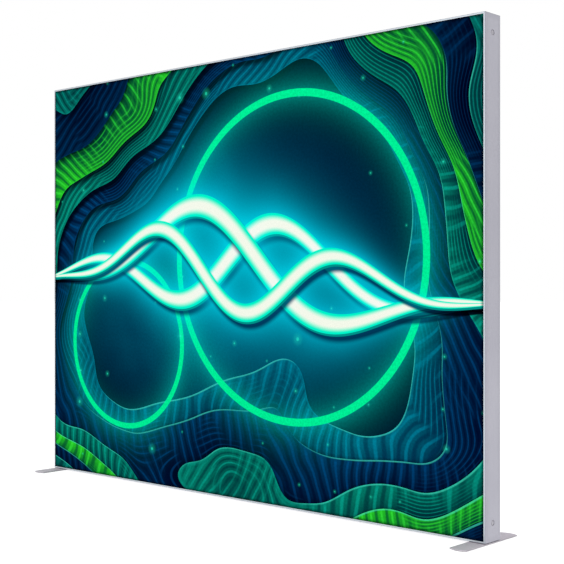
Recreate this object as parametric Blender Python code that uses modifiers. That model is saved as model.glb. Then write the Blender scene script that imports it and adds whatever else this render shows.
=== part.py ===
# A free-standing lightbox wall. An extruded frame holds a stretched print on the
# front and a lining on the back, light bars shine in from the top and bottom
# rails, and the whole wall stands on two foot plates that swivel under its ends.
# Metres, +X to the right, +Y to the back, +Z up, origin under the middle of the base.

import math

import bmesh
import bpy
from mathutils import Matrix, Vector

# Whole wall
WALL_WIDTH = 3.0
WALL_HEIGHT = 2.25
WALL_DEPTH = 0.12
RAIL_LENGTHS = ("left", "middle", "right")
UPRIGHT_LENGTHS = ("lower", "upper")

# Clearances
FIT = 0.0003
RUNNING = 0.0005
CUT_OVERRUN = 0.004

# Frame extrusion: a box chamber with a narrow slot for the fabric along both faces
WEB = 0.002
LIP_WIDTH = 0.008
LIP_THICKNESS = 0.002
SLOT_WIDTH = 0.0035
SLOT_DEPTH = 0.014
SLOT_FLOOR = 0.0025
SLOT_WALL = 0.002
SLOT_WALL_DROP = 0.003
POCKET_FLOOR = 0.003
CHAMBER_HEIGHT = 0.034
EDGE_CHAMFER = 0.0012

# Straight joiners inside the chamber, where two lengths meet
JOINER_LENGTH = 0.30
JOINER_WALL = 0.003

# Corner connectors
CORNER_LEG = 0.15
CORNER_RIB = 0.004

# Lock buttons and their springs
BUTTON_INSET = 0.080
BUTTON_HOLE_RADIUS = 0.0125
BUTTON_CAP_RADIUS = 0.0095
BUTTON_CAP_EDGE = 0.001
BUTTON_SKIRT_RADIUS = 0.013
BUTTON_SKIRT_LENGTH = 0.012
BUTTON_WALL = 0.0025
BUTTON_TRAVEL = 0.0045
SPRING_ROOM = 0.0095
SPRING_WIRE_RADIUS = 0.0006
SPRING_COIL_RADIUS = 0.0085
SPRING_TURNS = 5
SPRING_POINTS_PER_TURN = 8

# Stretched fabrics and the silicone strips sewn to their edges
FABRIC_THICKNESS = 0.0012

# Foot plates
PLATE_WIDTH = 0.086
PLATE_LENGTH = 0.425
PLATE_BOW = 0.013
PLATE_THICKNESS = 0.005
PLATE_EDGE = 0.0007
PLATE_ARC_STEPS = 12
PAD_THICKNESS = 0.0015
PAD_INSET = 0.004
WASHER_THICKNESS = 0.0025
WASHER_RADIUS = 0.016
BOLT_RADIUS = 0.004
BOLT_HEAD_RADIUS = 0.008
BOLT_HEAD_HEIGHT = 0.004
BOLT_END_CHAMFER = 0.0008
BOLT_PAST_NUT = 0.002
NUT_ACROSS_FLATS = 0.013
NUT_HEIGHT = 0.0065
NUT_SEAT = 0.010

# Light bars
BAR_WIDTH = 0.024
BAR_TRAY = 0.004
BAR_CORNER_SPACE = 0.080
LENS_HEIGHT = 0.009
LENS_LENGTH = 0.022
LENSES_PER_BAR = 12

# Upright braces between the rails, on saddles that straddle the light bars
BRACE_SIZE = 0.040
BRACE_WALL = 0.002
SADDLE_WIDTH = 0.084
SADDLE_TUNNEL_WIDTH = 0.034
SADDLE_TUNNEL_HEIGHT = 0.016
SADDLE_BRIDGE = 0.005
SPIGOT_LENGTH = 0.030

# Power supply, mains inlet and leads, all at the left upright
DRIVER_RISE = 0.15
DRIVER_LENGTH = 0.24
DRIVER_WIDTH = 0.064
DRIVER_HEIGHT = 0.036
DRIVER_EAR_LENGTH = 0.016
DRIVER_EAR_THICKNESS = 0.003
DRIVER_SCREW_RADIUS = 0.0022
INLET_RISE = 0.50
INLET_LENGTH = 0.030
INLET_WIDTH = 0.023
INLET_DEPTH = 0.027
INLET_FLANGE_LENGTH = 0.050
INLET_FLANGE_WIDTH = 0.030
INLET_FLANGE_THICKNESS = 0.002
SOCKET_LENGTH = 0.0246
SOCKET_WIDTH = 0.0166
SOCKET_DEPTH = 0.017
CONTACT_LENGTH = 0.004
CONTACT_WIDTH = 0.002
CONTACT_RECESS = 0.006
CONTACT_SPREAD = 0.007
CONTACT_OFFSET = 0.002
MAINS_LEAD_RADIUS = 0.0033
LIGHT_LEAD_RADIUS = 0.0018
LIGHT_LEAD_OFFSET = 0.0095
LEAD_BEND_RADIUS = 0.018
LEAD_BEND_STEPS = 6

# Facets of round pieces
ROUND_STEPS = 24
LEAD_RESOLUTION = 2

# Places that follow from the sizes above
HALF_WIDTH = WALL_WIDTH / 2
HALF_DEPTH = WALL_DEPTH / 2
PROFILE_HEIGHT = WEB + CHAMBER_HEIGHT + WEB
CHAMBER_HALF_DEPTH = HALF_DEPTH - SLOT_DEPTH - SLOT_FLOOR
PLATE_BASE = PAD_THICKNESS + FIT
WASHER_BASE = PLATE_BASE + PLATE_THICKNESS + FIT
FRAME_BASE = WASHER_BASE + WASHER_THICKNESS + FIT
FRAME_TOP = FRAME_BASE + WALL_HEIGHT
FRAME_MIDDLE = FRAME_BASE + WALL_HEIGHT / 2
FOOT_X = HALF_WIDTH - PLATE_WIDTH / 2
LEG_NEAR = WEB + FIT
LEG_FAR = WEB + CHAMBER_HEIGHT - FIT
BORE_RADIUS = BUTTON_SKIRT_RADIUS + FIT
BORE_FLOOR = LEG_NEAR + BUTTON_SKIRT_LENGTH + BUTTON_TRAVEL + SPRING_ROOM
BOLT_HOLE_RADIUS = BOLT_RADIUS + RUNNING
NUT_BASE = FRAME_BASE + LEG_NEAR + NUT_SEAT + FIT
BOLT_TOP = NUT_BASE + NUT_HEIGHT + BOLT_PAST_NUT
BAR_SEAT = PROFILE_HEIGHT + FIT
INNER_LEFT = -HALF_WIDTH + PROFILE_HEIGHT + FIT
DRIVER_BASE = FRAME_BASE + DRIVER_RISE
DRIVER_TOP = DRIVER_BASE + DRIVER_LENGTH
INLET_HEIGHT = FRAME_BASE + INLET_RISE

AXIS_X = Vector((1, 0, 0))
AXIS_Z = Vector((0, 0, 1))

SIDES = (("left", -1), ("right", 1))
LEVELS = (("bottom", 1), ("top", -1))


def clear_scene():
    for old in list(bpy.data.objects):
        bpy.data.objects.remove(old, do_unlink=True)


def new_collection(name):
    group = bpy.data.collections.new(name)
    bpy.context.scene.collection.children.link(group)
    return group


clear_scene()
PARTS = new_collection("lightbox_display_wall")
CUTTERS = new_collection("cutters")


def material(name, color, roughness, metallic):
    made = bpy.data.materials.new(name)
    made.use_nodes = True
    shader = made.node_tree.nodes["Principled BSDF"]
    shader.inputs["Base Color"].default_value = (*color, 1)
    shader.inputs["Roughness"].default_value = roughness
    shader.inputs["Metallic"].default_value = metallic
    made.diffuse_color = (*color, 1)
    return made


FINISHES = {
    "frame": ((0.46, 0.46, 0.52), 0.38, 0.6),
    "joiner": ((0.55, 0.55, 0.57), 0.35, 1.0),
    "connector": ((0.05, 0.05, 0.055), 0.5, 0.0),
    "button": ((0.42, 0.41, 0.45), 0.4, 0.3),
    "spring": ((0.6, 0.6, 0.62), 0.25, 1.0),
    "print": ((0.01, 0.09, 0.13), 0.75, 0.0),
    "lining": ((0.78, 0.78, 0.8), 0.85, 0.0),
    "silicone": ((0.7, 0.7, 0.7), 0.5, 0.0),
    "light_bar": ((0.75, 0.77, 0.78), 0.4, 0.3),
    "brace": ((0.55, 0.55, 0.57), 0.35, 1.0),
    "foot": ((0.42, 0.42, 0.44), 0.45, 0.5),
    "pad": ((0.03, 0.03, 0.03), 0.85, 0.0),
    "washer": ((0.06, 0.06, 0.06), 0.6, 0.0),
    "fastener": ((0.5, 0.5, 0.52), 0.3, 1.0),
    "driver": ((0.6, 0.61, 0.63), 0.4, 0.8),
    "inlet": ((0.02, 0.02, 0.02), 0.4, 0.0),
    "lead": ((0.02, 0.02, 0.02), 0.55, 0.0),
}


def finish(piece, look):
    piece.data.materials.clear()
    piece.data.materials.append(material(piece.name, *FINISHES[look]))
    return piece


def place(name, mesh, group=PARTS):
    piece = bpy.data.objects.new(name, mesh)
    group.objects.link(piece)
    return piece


def tidy_mesh(mesh):
    shape = bmesh.new()
    shape.from_mesh(mesh)
    bmesh.ops.remove_doubles(shape, verts=shape.verts, dist=FIT / 10)
    bmesh.ops.recalc_face_normals(shape, faces=shape.faces)
    shape.to_mesh(mesh)
    shape.free()


def mesh_of_curve(curve_object):
    """Turn a curve object into a closed mesh and remove the curve."""
    seen = curve_object.evaluated_get(bpy.context.evaluated_depsgraph_get())
    mesh = bpy.data.meshes.new_from_object(seen)
    tidy_mesh(mesh)
    bpy.data.objects.remove(curve_object, do_unlink=True)
    return mesh


def extruded_mesh(name, loops, length):
    """Fill flat outlines in XY, the inner ones as holes, and extrude them about Z = 0."""
    outline = bpy.data.curves.new(name, "CURVE")
    outline.dimensions = "2D"
    outline.fill_mode = "BOTH"
    outline.extrude = length / 2
    for loop in loops:
        spline = outline.splines.new("POLY")
        spline.points.add(len(loop) - 1)
        spline.use_cyclic_u = True
        for point, (x, y) in zip(spline.points, loop):
            point.co = (x, y, 0, 1)
    mesh = mesh_of_curve(place(name, outline))
    mesh.shade_flat()
    return mesh


def box_mesh(name, low, high):
    shape = bmesh.new()
    bmesh.ops.create_cube(shape, size=1)
    low = Vector(low)
    high = Vector(high)
    spans = high - low
    middle = (low + high) / 2
    bmesh.ops.transform(shape, verts=shape.verts,
                        matrix=Matrix.Translation(middle) @ Matrix.Diagonal((*spans, 1)))
    mesh = bpy.data.meshes.new(name)
    shape.to_mesh(mesh)
    shape.free()
    return mesh


def rectangle(low_x, low_y, high_x, high_y):
    return [(low_x, low_y), (high_x, low_y), (high_x, high_y), (low_x, high_y)]


def centred_rectangle(size_x, size_y):
    return rectangle(-size_x / 2, -size_y / 2, size_x / 2, size_y / 2)


def circle(radius, steps=ROUND_STEPS):
    turn = 2 * math.pi / steps
    return [(radius * math.cos(turn * i), radius * math.sin(turn * i)) for i in range(steps)]


def turned_piece(name, profile, group=PARTS):
    """Spin a half profile, listed from the top of its axis down its outer side, about Z."""
    mesh = bpy.data.meshes.new(name)
    points = [(radius, 0, height) for radius, height in profile]
    mesh.from_pydata(points, [(i, i + 1) for i in range(len(points) - 1)], [])
    piece = place(name, mesh, group)
    spin = piece.modifiers.new("spin", "SCREW")
    spin.steps = ROUND_STEPS
    spin.render_steps = ROUND_STEPS
    spin.use_merge_vertices = True
    spin.merge_threshold = FIT / 10
    spin.use_smooth_shade = False
    seen = piece.evaluated_get(bpy.context.evaluated_depsgraph_get())
    turned = bpy.data.meshes.new_from_object(seen)
    piece.modifiers.clear()
    piece.data = turned
    tidy_mesh(turned)
    return piece


def smooth_round(piece):
    piece.data.shade_smooth()
    piece.data.set_sharp_from_angle(angle=math.radians(30))
    return piece


def boolean(piece, tool, operation):
    step = piece.modifiers.new(operation.lower(), "BOOLEAN")
    step.operation = operation
    step.solver = "EXACT"
    step.object = tool
    tool.hide_render = True
    tool.display_type = "WIRE"


def cut_box(piece, name, low, high):
    boolean(piece, place(name, box_mesh(name, low, high), CUTTERS), "DIFFERENCE")


def cut_round(piece, name, start, end, radius):
    """Drill a round hole of one radius between two points."""
    start = Vector(start)
    run = Vector(end) - start
    tool = turned_piece(name, [(0, run.length), (radius, run.length), (radius, 0), (0, 0)], CUTTERS)
    tool.location = start
    tool.rotation_euler = run.to_track_quat("Z", "X").to_euler()
    boolean(piece, tool, "DIFFERENCE")


def add_box(piece, name, low, high):
    boolean(piece, place(name, box_mesh(name, low, high), CUTTERS), "UNION")


def empty(name, location):
    marker = bpy.data.objects.new(name, None)
    marker.location = location
    marker.empty_display_size = PLATE_WIDTH
    PARTS.objects.link(marker)
    return marker


def hang(piece, parent):
    """Parent a piece that is already in its place in the world."""
    piece.parent = parent
    piece.matrix_parent_inverse = Matrix.Translation(-parent.location)


def frame_section():
    """Outline of the frame extrusion and its hollows, inward depth then depth through the wall."""
    slot_inner = LIP_WIDTH + SLOT_WIDTH
    wall_inner = slot_inner + SLOT_WALL
    floor = HALF_DEPTH - SLOT_DEPTH
    shoulder = CHAMBER_HALF_DEPTH + WEB
    half = [
        (0, HALF_DEPTH - EDGE_CHAMFER),
        (EDGE_CHAMFER, HALF_DEPTH),
        (LIP_WIDTH, HALF_DEPTH),
        (LIP_WIDTH, floor),
        (slot_inner, floor),
        (slot_inner, HALF_DEPTH - SLOT_WALL_DROP),
        (wall_inner, HALF_DEPTH - SLOT_WALL_DROP),
        (wall_inner, shoulder),
        (PROFILE_HEIGHT, shoulder),
    ]
    outline = half + [(inward, -depth) for inward, depth in reversed(half)]
    chamber = rectangle(WEB, -CHAMBER_HALF_DEPTH, WEB + CHAMBER_HEIGHT, CHAMBER_HALF_DEPTH)
    pocket_low = CHAMBER_HALF_DEPTH + POCKET_FLOOR
    pocket_high = HALF_DEPTH - LIP_THICKNESS
    front = rectangle(WEB, pocket_low, LIP_WIDTH - SLOT_WALL, pocket_high)
    back = rectangle(WEB, -pocket_high, LIP_WIDTH - SLOT_WALL, -pocket_low)
    return [outline, chamber, front, back]


def joiner_section():
    outer = rectangle(LEG_NEAR, -CHAMBER_HALF_DEPTH + FIT, LEG_FAR, CHAMBER_HALF_DEPTH - FIT)
    inner = rectangle(LEG_NEAR + JOINER_WALL, -CHAMBER_HALF_DEPTH + FIT + JOINER_WALL,
                      LEG_FAR - JOINER_WALL, CHAMBER_HALF_DEPTH - FIT - JOINER_WALL)
    return [outer, inner]


def extrusion(name, loops, start, end, inward, mitres=(False, False)):
    """Run a section from start to end along the wall's outer face, mitred where it meets a corner."""
    start = Vector(start)
    run = Vector(end) - start
    along = run.normalized()
    across = along.cross(inward)
    mesh = extruded_mesh(name, loops, run.length)
    for vertex in mesh.vertices:
        far = vertex.co.z > 0
        mitred = mitres[1] if far else mitres[0]
        back = FIT / math.sqrt(2) + vertex.co.x if mitred else FIT / 2
        vertex.co.z = run.length - back if far else back
    piece = place(name, mesh)
    turn = Matrix((inward, across, along)).transposed()
    piece.matrix_world = Matrix.Translation(start) @ turn.to_4x4()
    return piece


def make_rails():
    """Top and bottom rails, three lengths each, with a bolt hole over each foot."""
    span = WALL_WIDTH / len(RAIL_LENGTHS)
    last = len(RAIL_LENGTHS) - 1
    rails = {}
    for level, rise in LEVELS:
        height = FRAME_BASE if level == "bottom" else FRAME_TOP
        for index, length in enumerate(RAIL_LENGTHS):
            start = (-HALF_WIDTH + span * index, 0, height)
            end = (-HALF_WIDTH + span * (index + 1), 0, height)
            rail = extrusion(f"{level}_rail_{length}", frame_section(), start, end,
                             AXIS_Z * rise, (index == 0, index == last))
            rails[level, length] = finish(rail, "frame")
    for side, sign in SIDES:
        low = (FOOT_X * sign, 0, FRAME_BASE - CUT_OVERRUN)
        high = (FOOT_X * sign, 0, FRAME_BASE + WEB + CUT_OVERRUN)
        cut_round(rails["bottom", side], f"bolt_hole_{side}", low, high, BOLT_HOLE_RADIUS)
    return rails


def make_uprights():
    """Left and right uprights, two lengths each, with a round window for each lock button."""
    span = WALL_HEIGHT / len(UPRIGHT_LENGTHS)
    last = len(UPRIGHT_LENGTHS) - 1
    uprights = {}
    for side, sign in SIDES:
        for index, length in enumerate(UPRIGHT_LENGTHS):
            start = (HALF_WIDTH * sign, 0, FRAME_BASE + span * index)
            end = (HALF_WIDTH * sign, 0, FRAME_BASE + span * (index + 1))
            upright = extrusion(f"{side}_upright_{length}", frame_section(), start, end,
                                AXIS_X * -sign, (index == 0, index == last))
            uprights[side, length] = finish(upright, "frame")
        for level, rise in LEVELS:
            length = UPRIGHT_LENGTHS[0] if level == "bottom" else UPRIGHT_LENGTHS[-1]
            height = button_height(level)
            outside = (sign * (HALF_WIDTH + CUT_OVERRUN), 0, height)
            inside = (sign * (HALF_WIDTH - WEB - CUT_OVERRUN), 0, height)
            cut_round(uprights[side, length], f"button_window_{level}_{side}",
                      outside, inside, BUTTON_HOLE_RADIUS)
    cut_inlet_openings(uprights["left", UPRIGHT_LENGTHS[0]])
    return uprights


def cut_inlet_openings(upright):
    """Open the left upright for the mains inlet and for the lead behind it."""
    half_width = INLET_WIDTH / 2 + FIT
    half_length = INLET_LENGTH / 2 + FIT
    cut_box(upright, "inlet_window",
            (-HALF_WIDTH - CUT_OVERRUN, -half_width, INLET_HEIGHT - half_length),
            (-HALF_WIDTH + WEB + CUT_OVERRUN, half_width, INLET_HEIGHT + half_length))
    wall = -HALF_WIDTH + WEB + CHAMBER_HEIGHT
    cut_round(upright, "mains_lead_hole", (wall - CUT_OVERRUN, 0, INLET_HEIGHT),
              (wall + WEB + CUT_OVERRUN, 0, INLET_HEIGHT), MAINS_LEAD_RADIUS + FIT)


def make_joiners():
    """Box joiners that bridge the butt joints of the rails and of the uprights."""
    reach = JOINER_LENGTH / 2
    for level, rise in LEVELS:
        height = FRAME_BASE if level == "bottom" else FRAME_TOP
        for side, joint_x in zip(("left", "right"), rail_joints()):
            joiner = extrusion(f"{level}_joiner_{side}", joiner_section(),
                               (joint_x - reach, 0, height), (joint_x + reach, 0, height),
                               AXIS_Z * rise)
            finish(joiner, "joiner")
    for side, sign in SIDES:
        joiner = extrusion(f"{side}_upright_joiner", joiner_section(),
                           (HALF_WIDTH * sign, 0, FRAME_MIDDLE - reach),
                           (HALF_WIDTH * sign, 0, FRAME_MIDDLE + reach), AXIS_X * -sign)
        finish(joiner, "joiner")


def rail_joints():
    span = WALL_WIDTH / len(RAIL_LENGTHS)
    return [-HALF_WIDTH + span * i for i in range(1, len(RAIL_LENGTHS))]


def button_height(level):
    return FRAME_BASE + BUTTON_INSET if level == "bottom" else FRAME_TOP - BUTTON_INSET


def corner_loops(sign, rise):
    """Angle with one leg in the rail and one in the upright, lightened by windows."""
    foot_inset = PLATE_WIDTH / 2
    nut_reach = NUT_ACROSS_FLATS / 2 + FIT
    leg = [(LEG_NEAR, LEG_NEAR), (CORNER_LEG, LEG_NEAR), (CORNER_LEG, LEG_FAR),
           (LEG_FAR, LEG_FAR), (LEG_FAR, CORNER_LEG), (LEG_NEAR, CORNER_LEG)]
    low = LEG_NEAR + CORNER_RIB
    high = LEG_FAR - CORNER_RIB
    windows = [
        rectangle(foot_inset + nut_reach + CORNER_RIB, low, CORNER_LEG - CORNER_RIB, high),
        rectangle(low, LEG_FAR + CORNER_RIB, high, BUTTON_INSET - BORE_RADIUS - CORNER_RIB),
        rectangle(low, BUTTON_INSET + BORE_RADIUS + CORNER_RIB, high, CORNER_LEG - CORNER_RIB),
    ]
    return [[(-sign * x, rise * z) for x, z in loop] for loop in [leg, *windows]]


def make_corner(level, rise, side, sign):
    """Corner connector with the bore of a lock button and the seat of a foot nut."""
    name = f"corner_connector_{level}_{side}"
    height = FRAME_BASE if level == "bottom" else FRAME_TOP
    mesh = extruded_mesh(name, corner_loops(sign, rise), 2 * (CHAMBER_HALF_DEPTH - FIT))
    corner = place(name, mesh)
    corner.location = (HALF_WIDTH * sign, 0, height)
    corner.rotation_euler = (math.pi / 2, 0, 0)

    bore_height = button_height(level)
    mouth = (sign * (HALF_WIDTH - LEG_NEAR + CUT_OVERRUN), 0, bore_height)
    floor = (sign * (HALF_WIDTH - BORE_FLOOR), 0, bore_height)
    cut_round(corner, f"button_bore_{level}_{side}", mouth, floor, BORE_RADIUS)

    foot_x = FOOT_X * sign
    outer = (foot_x, 0, height + rise * (LEG_NEAR - CUT_OVERRUN))
    inner = (foot_x, 0, height + rise * (LEG_FAR + CUT_OVERRUN))
    cut_round(corner, f"bolt_way_{level}_{side}", outer, inner, BOLT_HOLE_RADIUS)
    pocket_name = f"nut_pocket_{level}_{side}"
    pocket_length = LEG_FAR - LEG_NEAR - NUT_SEAT + CUT_OVERRUN
    pocket_radius = NUT_ACROSS_FLATS / 2 / math.cos(math.pi / 6) + FIT
    pocket = place(pocket_name, extruded_mesh(pocket_name, [circle(pocket_radius, 6)],
                                              pocket_length), CUTTERS)
    pocket.location = (foot_x, 0,
                       height + rise * (LEG_NEAR + NUT_SEAT + pocket_length / 2))
    boolean(corner, pocket, "DIFFERENCE")
    finish(corner, "connector")


def make_lock_button(level, side, sign):
    """Sprung button that snaps into its window from inside the upright."""
    skirt_face = -WEB - FIT
    skirt_end = skirt_face - BUTTON_SKIRT_LENGTH
    cap_face = -FIT
    hollow_radius = BUTTON_SKIRT_RADIUS - BUTTON_WALL
    profile = [
        (0, cap_face),
        (BUTTON_CAP_RADIUS - BUTTON_CAP_EDGE, cap_face),
        (BUTTON_CAP_RADIUS, cap_face - BUTTON_CAP_EDGE),
        (BUTTON_CAP_RADIUS, skirt_face),
        (BUTTON_SKIRT_RADIUS, skirt_face),
        (BUTTON_SKIRT_RADIUS, skirt_end),
        (hollow_radius, skirt_end),
        (hollow_radius, skirt_face - BUTTON_WALL),
        (0, skirt_face - BUTTON_WALL),
    ]
    button = turned_piece(f"lock_button_{level}_{side}", profile)
    button.location = (HALF_WIDTH * sign, 0, button_height(level))
    button.rotation_euler = (0, sign * math.pi / 2, 0)
    finish(smooth_round(button), "button")


def make_lock_spring(level, side, sign):
    """Coil spring between the button's hollow and the floor of its bore."""
    name = f"lock_spring_{level}_{side}"
    front = -(LEG_NEAR + BUTTON_WALL + FIT + SPRING_WIRE_RADIUS)
    back = -(BORE_FLOOR - FIT - SPRING_WIRE_RADIUS)
    steps = SPRING_TURNS * SPRING_POINTS_PER_TURN
    points = []
    for i in range(steps + 1):
        angle = 2 * math.pi * i / SPRING_POINTS_PER_TURN
        points.append((SPRING_COIL_RADIUS * math.cos(angle), SPRING_COIL_RADIUS * math.sin(angle),
                       front + (back - front) * i / steps))
    spring = wire(name, points, SPRING_WIRE_RADIUS, 0)
    spring.location = (HALF_WIDTH * sign, 0, button_height(level))
    spring.rotation_euler = (0, sign * math.pi / 2, 0)
    finish(spring, "spring")


def wire(name, points, radius, resolution):
    """Round wire through the points, as a closed mesh."""
    path = bpy.data.curves.new(name, "CURVE")
    path.dimensions = "3D"
    path.bevel_depth = radius
    path.bevel_resolution = resolution
    path.use_fill_caps = True
    spline = path.splines.new("POLY")
    spline.points.add(len(points) - 1)
    for point, place_on_path in zip(spline.points, points):
        point.co = (*place_on_path, 1)
    return place(name, mesh_of_curve(place(name, path)))


def rounded_path(corners, radius):
    """Replace each inner corner of a route with an arc of the given radius."""
    path = [Vector(corners[0])]
    for before, corner, after in zip(corners, corners[1:], corners[2:]):
        corner = Vector(corner)
        inbound = (Vector(before) - corner).normalized()
        outbound = (Vector(after) - corner).normalized()
        half_angle = inbound.angle(outbound) / 2
        setback = radius / math.tan(half_angle)
        centre = corner + (inbound + outbound).normalized() * radius / math.sin(half_angle)
        first = corner + inbound * setback - centre
        last = corner + outbound * setback - centre
        for step in range(LEAD_BEND_STEPS + 1):
            spoke = first.lerp(last, step / LEAD_BEND_STEPS).normalized()
            path.append(centre + spoke * radius)
    path.append(Vector(corners[-1]))
    return path


def make_fabric(name, strip_name, sign, look):
    """Flat fabric over one face of the wall, and the silicone strip round its edge."""
    inset = LIP_WIDTH + FIT
    low = FRAME_BASE + inset
    high = FRAME_TOP - inset
    reach = HALF_WIDTH - inset
    face = sign * HALF_DEPTH
    back = sign * (HALF_DEPTH - FABRIC_THICKNESS)
    fabric = place(name, box_mesh(name, (-reach, min(face, back), low),
                                  (reach, max(face, back), high)))
    finish(fabric, look)

    strip_front = HALF_DEPTH - FABRIC_THICKNESS - FIT
    strip_back = HALF_DEPTH - SLOT_DEPTH + FIT
    strip_width = SLOT_WIDTH - 2 * FIT
    outer = centred_rectangle(2 * reach, high - low)
    inner = centred_rectangle(2 * (reach - strip_width), high - low - 2 * strip_width)
    mesh = extruded_mesh(strip_name, [outer, inner], strip_front - strip_back)
    strip = place(strip_name, mesh)
    strip.location = (0, sign * (strip_front + strip_back) / 2, FRAME_MIDDLE)
    strip.rotation_euler = (math.pi / 2, 0, 0)
    finish(strip, "silicone")


def light_bar_outline(length):
    """Side view of a light bar: a flat tray with evenly spaced lens blocks on it."""
    pitch = length / LENSES_PER_BAR
    outline = [(length, 0), (0, 0), (0, BAR_TRAY)]
    for i in range(LENSES_PER_BAR):
        middle = pitch * (i + 1 / 2)
        start = middle - LENS_LENGTH / 2
        end = middle + LENS_LENGTH / 2
        top = BAR_TRAY + LENS_HEIGHT
        outline += [(start, BAR_TRAY), (start, top), (end, top), (end, BAR_TRAY)]
    outline.append((length, BAR_TRAY))
    return outline


def make_light_bars():
    """Light bars along the inside of the top and bottom rails, one for each rail length."""
    edges = [-HALF_WIDTH + BAR_CORNER_SPACE, *rail_joints(), HALF_WIDTH - BAR_CORNER_SPACE]
    for level, rise in LEVELS:
        seat = FRAME_BASE + BAR_SEAT if level == "bottom" else FRAME_TOP - BAR_SEAT
        for index, length_name in enumerate(RAIL_LENGTHS):
            start = edges[index] + FIT / 2
            length = edges[index + 1] - FIT / 2 - start
            name = f"light_bar_{level}_{length_name}"
            outline = [(x, rise * z) for x, z in light_bar_outline(length)]
            bar = place(name, extruded_mesh(name, [outline], BAR_WIDTH))
            bar.location = (start, 0, seat)
            bar.rotation_euler = (math.pi / 2, 0, 0)
            finish(bar, "light_bar")


def saddle_outline(rise):
    """End view of a brace saddle: two legs, a bridge over the light bar and a spigot."""
    half = SADDLE_WIDTH / 2
    tunnel = SADDLE_TUNNEL_WIDTH / 2
    spigot = BRACE_SIZE / 2 - BRACE_WALL - FIT
    bridge = SADDLE_TUNNEL_HEIGHT + SADDLE_BRIDGE
    right = [(tunnel, SADDLE_TUNNEL_HEIGHT), (tunnel, 0), (half, 0), (half, bridge),
             (spigot, bridge), (spigot, bridge + SPIGOT_LENGTH)]
    outline = right + [(-y, z) for y, z in reversed(right)]
    return [(y, rise * z) for y, z in outline]


def make_braces():
    """Square tubes that keep the long rails apart, each seated on two saddles."""
    saddle_length = BRACE_SIZE - 2 * BRACE_WALL - 2 * FIT
    bridge = BAR_SEAT + SADDLE_TUNNEL_HEIGHT + SADDLE_BRIDGE + FIT
    bore = BRACE_SIZE - 2 * BRACE_WALL
    for side, joint_x in zip(("left", "right"), rail_joints()):
        for level, rise in LEVELS:
            name = f"brace_saddle_{level}_{side}"
            saddle = place(name, extruded_mesh(name, [saddle_outline(rise)], saddle_length))
            seat = FRAME_BASE + BAR_SEAT if level == "bottom" else FRAME_TOP - BAR_SEAT
            saddle.location = (joint_x, 0, seat)
            saddle.rotation_euler = (math.pi / 2, 0, math.pi / 2)
            finish(saddle, "connector")
        name = f"brace_{side}"
        loops = [centred_rectangle(BRACE_SIZE, BRACE_SIZE), centred_rectangle(bore, bore)]
        brace = place(name, extruded_mesh(name, loops, WALL_HEIGHT - 2 * bridge))
        brace.location = (joint_x, 0, FRAME_MIDDLE)
        finish(brace, "brace")


def plate_outline(inset):
    """Foot plate seen from above: straight long sides and bowed ends."""
    half_width = PLATE_WIDTH / 2 - inset
    half_length = PLATE_LENGTH / 2 - inset
    shoulder = half_length - PLATE_BOW
    arc_radius = (half_width ** 2 + PLATE_BOW ** 2) / (2 * PLATE_BOW)
    sweep = math.asin(half_width / arc_radius)
    centre = half_length - arc_radius
    far_end = []
    for step in range(PLATE_ARC_STEPS + 1):
        angle = sweep * (1 - 2 * step / PLATE_ARC_STEPS)
        far_end.append((arc_radius * math.sin(angle), centre + arc_radius * math.cos(angle)))
    far_end[0] = (half_width, shoulder)
    far_end[-1] = (-half_width, shoulder)
    return far_end + [(-x, -y) for x, y in far_end]


def make_foot(side, sign):
    """Foot plate on a rubber pad, with the washer it turns on, round a fixed bolt."""
    pivot = empty(f"foot_{side}_pivot", (FOOT_X * sign, 0, 0))
    plate_name = f"foot_plate_{side}"
    plate = place(plate_name, extruded_mesh(plate_name, [plate_outline(0)], PLATE_THICKNESS))
    plate.location = (FOOT_X * sign, 0, PLATE_BASE + PLATE_THICKNESS / 2)
    edges = plate.modifiers.new("eased_edges", "BEVEL")
    edges.width = PLATE_EDGE
    edges.segments = 1
    edges.limit_method = "ANGLE"
    edges.angle_limit = math.radians(60)
    cone_name = f"countersink_{side}"
    head = BOLT_HEAD_RADIUS + RUNNING
    head_top = PLATE_BASE + BOLT_HEAD_HEIGHT + RUNNING
    slope = (head - BOLT_HOLE_RADIUS) / BOLT_HEAD_HEIGHT
    mouth = head + slope * (CUT_OVERRUN + RUNNING)
    cone = turned_piece(cone_name, [
        (0, PLATE_BASE + PLATE_THICKNESS + CUT_OVERRUN),
        (BOLT_HOLE_RADIUS, PLATE_BASE + PLATE_THICKNESS + CUT_OVERRUN),
        (BOLT_HOLE_RADIUS, head_top),
        (mouth, PLATE_BASE - CUT_OVERRUN),
        (0, PLATE_BASE - CUT_OVERRUN),
    ], CUTTERS)
    cone.location = (FOOT_X * sign, 0, 0)
    boolean(plate, cone, "DIFFERENCE")
    finish(plate, "foot")
    hang(plate, pivot)

    pad_name = f"foot_pad_{side}"
    loops = [plate_outline(PAD_INSET), circle(BOLT_HEAD_RADIUS + PAD_INSET)]
    pad = place(pad_name, extruded_mesh(pad_name, loops, PAD_THICKNESS))
    pad.location = (FOOT_X * sign, 0, PAD_THICKNESS / 2)
    finish(pad, "pad")
    hang(pad, pivot)

    washer_name = f"foot_washer_{side}"
    loops = [circle(WASHER_RADIUS), circle(BOLT_HOLE_RADIUS)]
    washer = place(washer_name, extruded_mesh(washer_name, loops, WASHER_THICKNESS))
    washer.location = (FOOT_X * sign, 0, WASHER_BASE + WASHER_THICKNESS / 2)
    finish(smooth_round(washer), "washer")
    hang(washer, pivot)


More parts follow.
